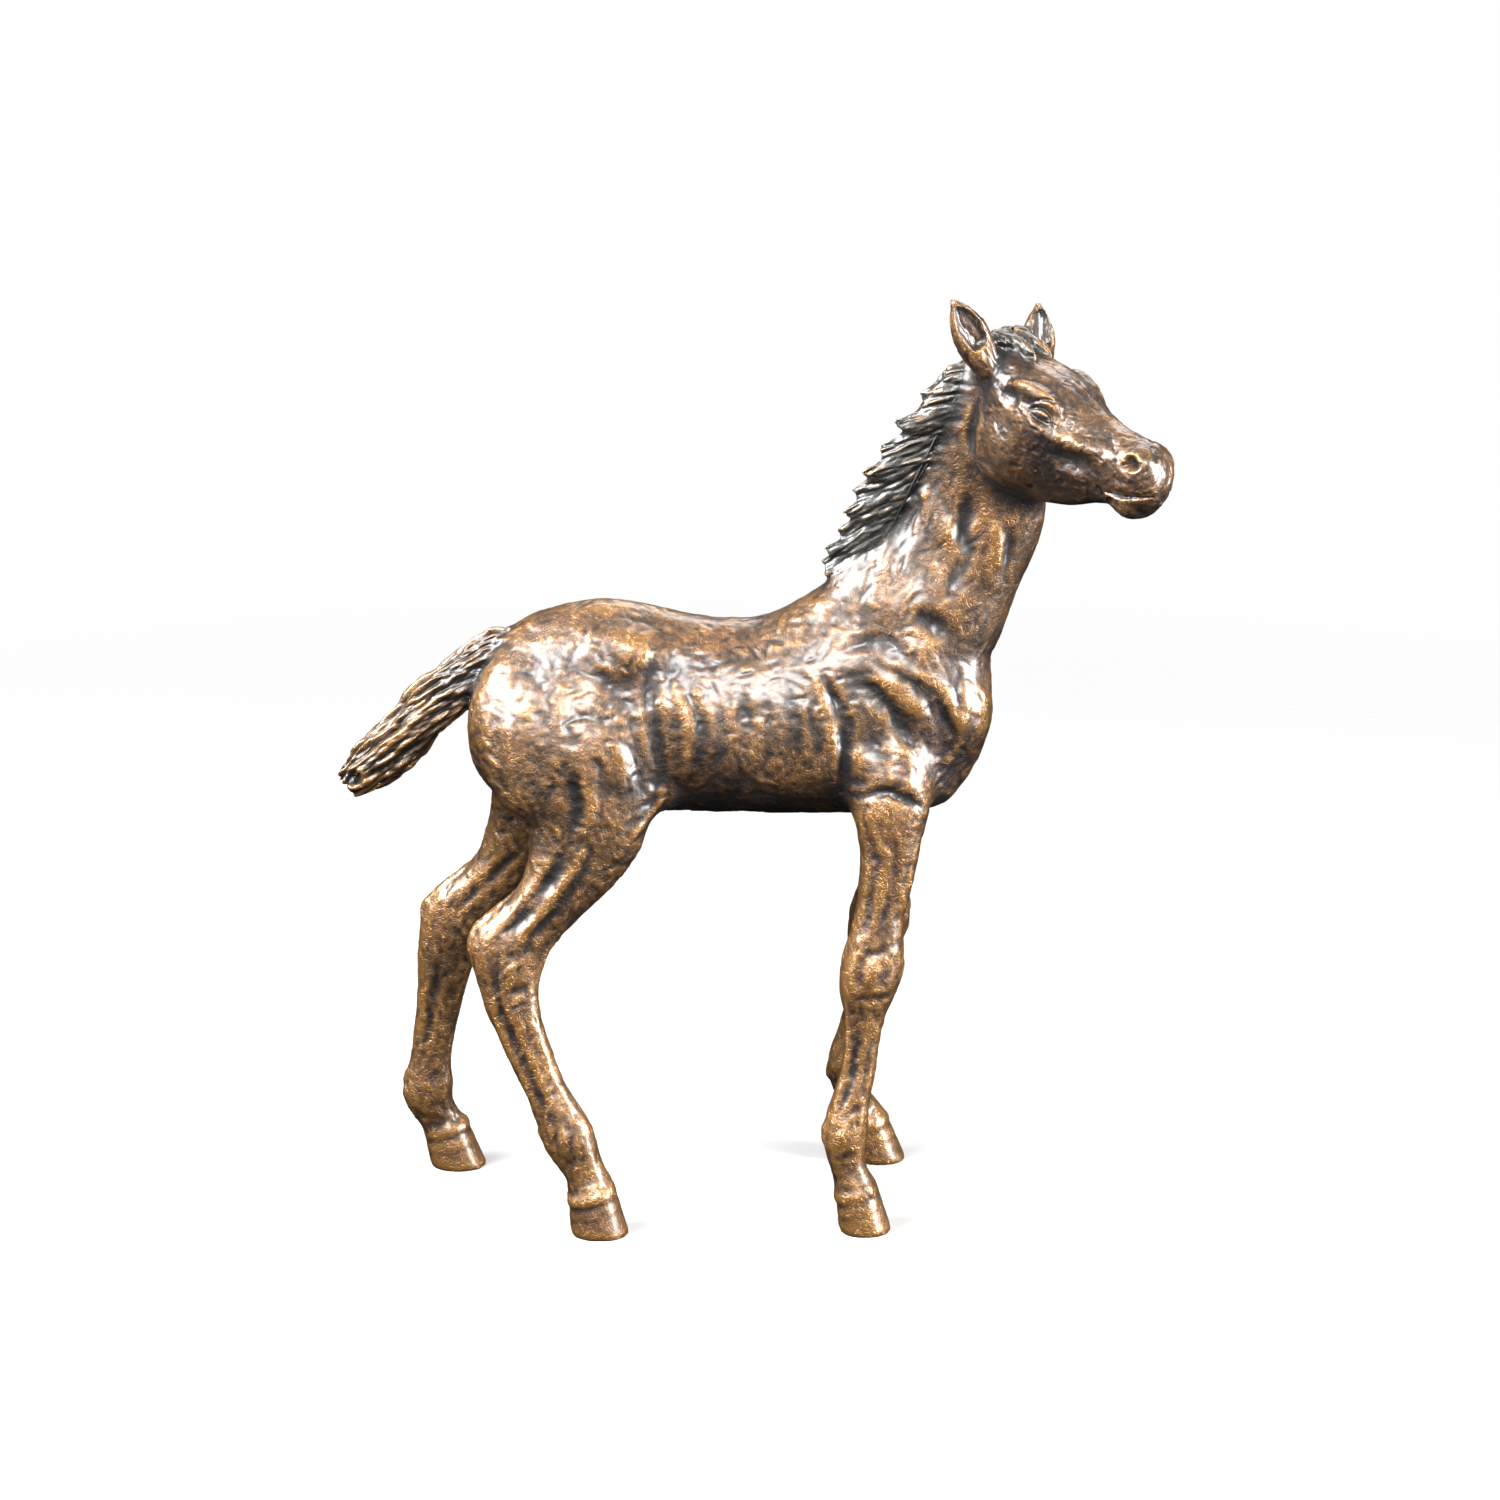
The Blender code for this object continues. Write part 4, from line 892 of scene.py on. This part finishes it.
def capped_piece(name, whole, corners, starts, sizes, faces, normals):
    """One casting's faces as its own mesh, with its rims capped and the whole's normals on its skin.

    The legs come out watertight. At a jagged rim a cap can lie on a face of the skin, which leaves
    doubled faces on the other pieces.
    """
    chosen = np.concatenate([corners[starts[f] : starts[f] + sizes[f]] for f in faces])
    used, number = np.unique(chosen, return_inverse=True)
    ends = np.cumsum(sizes[faces])
    loops = [part.tolist() for part in np.split(number, ends[:-1])]
    points = np.empty(len(whole.vertices) * 3)
    whole.vertices.foreach_get("co", points)
    mesh = bpy.data.meshes.new(name)
    mesh.from_pydata(points.reshape(-1, 3)[used].tolist(), [], loops)
    # the first attribute carries the worn patina and the painted shade of the faces turned down
    for key in ("wear_and_shade", "hair"):
        store(mesh, key, values_of(whole, key)[used])
    bm = bmesh.new()
    bm.from_mesh(mesh)
    rim = [edge for edge in bm.edges if edge.is_boundary]
    caps = bmesh.ops.holes_fill(bm, edges=rim, sides=0)["faces"]
    caps = bmesh.ops.triangulate(bm, faces=caps)["faces"]
    for face in bm.faces:
        face.smooth = True
    bm.faces.index_update()
    flat = {face.index for face in caps}
    bm.to_mesh(mesh)
    bm.free()
    own = normals[used]
    corner_of = np.empty(len(mesh.loops), np.int64)
    mesh.loops.foreach_get("vertex_index", corner_of)
    custom = own[corner_of]
    for index in flat:
        polygon = mesh.polygons[index]
        custom[list(polygon.loop_indices)] = polygon.normal
    mesh.normals_split_custom_set(custom.tolist())
    made = bpy.data.objects.new(name, mesh)
    bpy.context.scene.collection.objects.link(made)
    return made


# ---------------------------------------------------------------- materials


class Nodes:
    """A material's node tree, with short ways to add and join nodes."""

    def __init__(self, name):
        self.material = bpy.data.materials.new(name)
        self.material.use_nodes = True
        self.tree = self.material.node_tree
        self.shader = self.tree.nodes["Principled BSDF"]

    def add(self, kind, **settings):
        node = self.tree.nodes.new(kind)
        for key, value in settings.items():
            setattr(node, key, value)
        return node

    def join(self, source, target):
        self.tree.links.new(source, target)

    def noise(self, scale, detail=3.0, roughness=0.55, stretch=None, swirl=0.0):
        place = self.add("ShaderNodeTexCoord").outputs["Object"]
        if stretch:
            mapping = self.add("ShaderNodeMapping")
            mapping.inputs["Scale"].default_value = stretch
            self.join(place, mapping.inputs["Vector"])
            place = mapping.outputs["Vector"]
        node = self.add("ShaderNodeTexNoise")
        node.inputs["Scale"].default_value = scale
        node.inputs["Detail"].default_value = detail
        node.inputs["Roughness"].default_value = roughness
        node.inputs["Distortion"].default_value = swirl
        self.join(place, node.inputs["Vector"])
        return node.outputs["Fac"]

    def math(self, operation, first, second=None, clamp=False):
        node = self.add("ShaderNodeMath", operation=operation, use_clamp=clamp)
        for socket, value in zip(node.inputs, (first, second)):
            if value is None:
                continue
            if isinstance(value, (int, float)):
                socket.default_value = value
            else:
                self.join(value, socket)
        return node.outputs[0]

    def ramp(self, value, stops):
        node = self.add("ShaderNodeValToRGB")
        elements = node.color_ramp.elements
        while len(elements) < len(stops):
            elements.new(0.5)
        for element, (place, colour) in zip(elements, stops):
            element.position = place
            element.color = (*colour, 1.0) if isinstance(colour, tuple) else (colour, colour, colour, 1.0)
        self.join(value, node.inputs["Fac"])
        return node.outputs["Color"]

    def mix(self, share, first, second):
        node = self.add("ShaderNodeMix", data_type="RGBA")
        self.join(share, node.inputs["Factor"])
        for socket, value in ((node.inputs[6], first), (node.inputs[7], second)):
            if isinstance(value, tuple):
                socket.default_value = (*value, 1.0)
            else:
                self.join(value, socket)
        return node.outputs[2]

    def bump(self, height, strength, distance):
        node = self.add("ShaderNodeBump")
        node.inputs["Strength"].default_value = strength
        node.inputs["Distance"].default_value = distance
        self.join(height, node.inputs["Height"])
        self.join(node.outputs["Normal"], self.shader.inputs["Normal"])


def patina():
    """Chemical brown over bronze, worn back to metal on the raised parts and darkened by painted shade on the
    faces turned down, under clear wax.
    """
    n = Nodes("patinated_bronze")
    # this attribute mixes the worn patina with painted shade on the faces turned down and painted light on
    # the faces turned up
    wear_and_shade = n.add("ShaderNodeAttribute", attribute_name="wear_and_shade").outputs["Fac"]
    hair = n.add("ShaderNodeAttribute", attribute_name="hair").outputs["Fac"]
    clouds = n.math("SUBTRACT", n.noise(170.0, 3.0), 0.5)
    spots = n.math("SUBTRACT", n.noise(900.0, 4.0, 0.65), 0.5)
    rubbed_and_shaded = n.math("ADD", wear_and_shade, n.math("MULTIPLY", clouds, 0.85))
    rubbed_and_shaded = n.math("ADD", rubbed_and_shaded, n.math("MULTIPLY", spots, 0.60), clamp=True)
    brown = n.ramp(
        rubbed_and_shaded,
        (
            (0.08, (0.005, 0.003, 0.002)),
            (0.28, (0.020, 0.010, 0.005)),
            (0.46, (0.086, 0.042, 0.017)),
            (0.64, (0.225, 0.112, 0.042)),
            (0.90, (0.500, 0.245, 0.070)),
        ),
    )
    green = n.ramp(
        rubbed_and_shaded,
        (
            (0.16, (0.005, 0.006, 0.006)),
            (0.42, (0.030, 0.035, 0.032)),
            (0.66, (0.085, 0.086, 0.072)),
            (0.90, (0.340, 0.180, 0.060)),
        ),
    )
    n.join(n.mix(n.math("MULTIPLY", hair, 0.85), brown, green), n.shader.inputs["Base Color"])
    rough = n.math("ADD", 0.62, n.math("MULTIPLY", n.noise(420.0, 3.0), 0.16))
    n.join(n.math("SUBTRACT", rough, n.math("MULTIPLY", rubbed_and_shaded, 0.45)), n.shader.inputs["Roughness"])
    n.shader.inputs["Metallic"].default_value = 0.5
    n.shader.inputs["IOR"].default_value = 1.9
    n.shader.inputs["Coat Weight"].default_value = 0.9
    n.shader.inputs["Coat Roughness"].default_value = 0.30
    n.shader.inputs["Coat IOR"].default_value = 1.9
    grain = n.math("ADD", n.noise(2600.0, 3.0, 0.6), n.math("MULTIPLY", n.noise(1100.0, 2.0), 1.4))
    across = n.math("ABSOLUTE", n.math("SUBTRACT", n.noise(620.0, 1.0, 0.5, swirl=1.6), 0.5))
    marks = n.math("MULTIPLY", across, 22.0, clamp=True)
    n.bump(n.math("ADD", grain, n.math("MULTIPLY", marks, 0.6)), 0.55, 0.00020)
    return n.material


def worked_metal(name, colour, rough):
    """Drawn or turned bronze, with fine lines along it."""
    n = Nodes(name)
    lines = n.noise(900.0, 3.0, 0.5, (1.0, 1.0, 0.08))
    bright = tuple(min(1.0, c * 1.5) for c in colour)
    n.join(n.ramp(lines, ((0.3, colour), (0.7, bright))), n.shader.inputs["Base Color"])
    n.join(n.math("ADD", rough, n.math("MULTIPLY", lines, 0.15)), n.shader.inputs["Roughness"])
    n.shader.inputs["Metallic"].default_value = 1.0
    n.bump(lines, 0.2, 0.00005)
    return n.material


# ---------------------------------------------------------------- the studio


def aim(thing, place, target):
    way = Vector(target) - Vector(place)
    thing.location = place
    thing.rotation_mode = "QUATERNION"
    thing.rotation_quaternion = way.to_track_quat("-Z", "Y")


def softbox(name, azimuth, elevation, distance, size, power, target, colour=(1, 1, 1)):
    light = bpy.data.lights.new(name, "AREA")
    light.shape = "RECTANGLE"
    light.size, light.size_y = size
    light.energy = power
    light.color = colour
    made = bpy.data.objects.new(name, light)
    bpy.context.scene.collection.objects.link(made)
    a, e = math.radians(azimuth), math.radians(elevation)
    way = Vector((math.sin(a) * math.cos(e), -math.cos(a) * math.cos(e), math.sin(e)))
    aim(made, Vector(target) + way * distance, target)


def pale_floor():
    """A round floor that fades into the white behind it."""
    turns = np.radians(np.arange(0, 360, 5))
    points = np.column_stack([np.cos(turns), np.sin(turns), np.zeros(len(turns))]) * FLOOR_RADIUS / MM
    floor = bpy.data.objects.new("floor", mesh_of(points, [list(range(len(turns)))], "floor"))
    bpy.context.scene.collection.objects.link(floor)
    n = Nodes("pale_floor")
    shade = n.ramp(n.noise(3.0), ((0.3, (0.80, 0.80, 0.80)), (0.7, (0.84, 0.84, 0.84))))
    n.join(shade, n.shader.inputs["Base Color"])
    n.shader.inputs["Roughness"].default_value = 0.9
    n.shader.inputs["Specular IOR Level"].default_value = 0.1
    away = n.add("ShaderNodeVectorMath", operation="LENGTH")
    n.join(n.add("ShaderNodeTexCoord").outputs["Object"], away.inputs[0])
    fade = n.add("ShaderNodeMapRange", interpolation_type="SMOOTHSTEP")
    for socket, value in (("From Min", 0.10), ("From Max", FLOOR_RADIUS), ("To Min", 1.0), ("To Max", 0.0)):
        fade.inputs[socket].default_value = value
    n.join(away.outputs["Value"], fade.inputs["Value"])
    n.join(fade.outputs["Result"], n.shader.inputs["Alpha"])
    floor.data.materials.append(n.material)
    floor.visible_glossy = floor.visible_diffuse = False


def white_room():
    """White behind the object, and a dimmer room in what the bronze reflects."""
    world = bpy.data.worlds.new("studio")
    world.use_nodes = True
    bpy.context.scene.world = world
    tree = world.node_tree
    behind = tree.nodes["Background"]
    behind.inputs["Color"].default_value = (1.0, 1.0, 1.0, 1.0)
    room = tree.nodes.new("ShaderNodeBackground")
    ramp = tree.nodes.new("ShaderNodeValToRGB")
    elements = ramp.color_ramp.elements
    elements[0].position, elements[0].color = 0.38, (0.03, 0.03, 0.032, 1.0)
    elements[1].position, elements[1].color = 0.85, (0.50, 0.50, 0.52, 1.0)
    split = tree.nodes.new("ShaderNodeSeparateXYZ")
    half = tree.nodes.new("ShaderNodeMath")
    half.operation = "MULTIPLY_ADD"
    half.inputs[1].default_value, half.inputs[2].default_value = 0.5, 0.5
    tree.links.new(tree.nodes.new("ShaderNodeTexCoord").outputs["Generated"], split.inputs[0])
    tree.links.new(split.outputs["Z"], half.inputs[0])
    tree.links.new(half.outputs[0], ramp.inputs["Fac"])
    tree.links.new(ramp.outputs["Color"], room.inputs["Color"])
    room.inputs["Strength"].default_value = ROOM_STRENGTH
    mixed = tree.nodes.new("ShaderNodeMixShader")
    tree.links.new(tree.nodes.new("ShaderNodeLightPath").outputs["Is Camera Ray"], mixed.inputs["Fac"])
    tree.links.new(room.outputs[0], mixed.inputs[1])
    tree.links.new(behind.outputs[0], mixed.inputs[2])
    tree.links.new(mixed.outputs[0], tree.nodes["World Output"].inputs["Surface"])


FLOOR_RADIUS = 0.45
ROOM_STRENGTH = 0.32
CAMERA_ELEVATION = math.radians(15.0)
CAMERA_DISTANCE = 0.7
CAMERA_LENS = 112.0
TARGET_SHARE = 0.5025  # of the height, where the camera points
# Softboxes: azimuth, elevation, distance, width and height, power, colour
SOFTBOXES = (
    ("key", -68.0, 36.0, 0.50, (0.34, 0.30), 4.6, (1.0, 1.0, 1.0)),
    ("front", 4.0, 34.0, 0.60, (0.30, 0.16), 2.6, (1.0, 1.0, 1.0)),
    ("right", 72.0, 10.0, 0.50, (0.12, 0.30), 3.4, (1.0, 1.0, 1.0)),
    ("rim", 165.0, 45.0, 0.70, (0.50, 0.20), 1.5, (1.0, 1.0, 1.0)),
)


def studio():
    low, high = (Vector(corner) for corner in cad_box)
    centre = (low + high) / 2
    white_room()
    for name, azimuth, elevation, distance, size, power, colour in SOFTBOXES:
        softbox(name, azimuth, elevation, distance, size, power, centre, colour)
    pale_floor()
    camera = bpy.data.objects.new("camera", bpy.data.cameras.new("camera"))
    bpy.context.scene.collection.objects.link(camera)
    camera.data.sensor_width = 36.0
    camera.data.lens = CAMERA_LENS
    camera.data.clip_start = 0.01
    target = Vector((ORIGIN[0] * MM, ORIGIN[1] * MM, low.z + TARGET_SHARE * (high.z - low.z)))
    away = Vector((0.0, -math.cos(CAMERA_ELEVATION), math.sin(CAMERA_ELEVATION)))
    aim(camera, target + away * CAMERA_DISTANCE, target)
    bpy.context.scene.camera = camera
    bpy.context.scene.view_settings.view_transform = "Standard"


# ---------------------------------------------------------------- making it

skin = make_skin()
work_body()
work_head()
work_legs()
skin.raise_height()
draw_strands()
skin.raise_height()
roll_tail_tip()
skin.raise_height()
press_all_facets()
roughen()
skin.raise_height()
on_ground = skin.points[:, 2] < 0.25
skin.points[on_ground, 2] = 0.0

whole = whole_mesh()
corners = np.empty(len(whole.loops), np.int64)
whole.loops.foreach_get("vertex_index", corners)
starts = np.empty(len(whole.polygons), np.int64)
whole.polygons.foreach_get("loop_start", starts)
sizes = np.empty(len(whole.polygons), np.int64)
whole.polygons.foreach_get("loop_total", sizes)
normals = np.empty(len(whole.vertices) * 3, np.float32)
whole.vertex_normals.foreach_get("vector", normals)
normals = normals.reshape(-1, 3)
owner = casting_of_faces(whole, corners, starts, sizes)
bronze = patina()
for number, name in enumerate(CASTINGS):
    faces = np.flatnonzero(owner == number)
    made = capped_piece("chased_" + name, whole, corners, starts, sizes, faces, normals)
    made.data.materials.append(bronze)
    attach(made, "root")
    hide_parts(name, *(PLUGS if name == "torso" else ()))

rod = worked_metal("drawn_bronze", (0.42, 0.25, 0.10), 0.36)
tube = worked_metal("bronze_tube", (0.36, 0.22, 0.09), 0.40)
for name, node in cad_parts.items():
    if name not in CASTINGS and name not in PLUGS:
        node.data.materials.clear()
        node.data.materials.append(tube if name == "neck_sleeve" else rod)

studio()
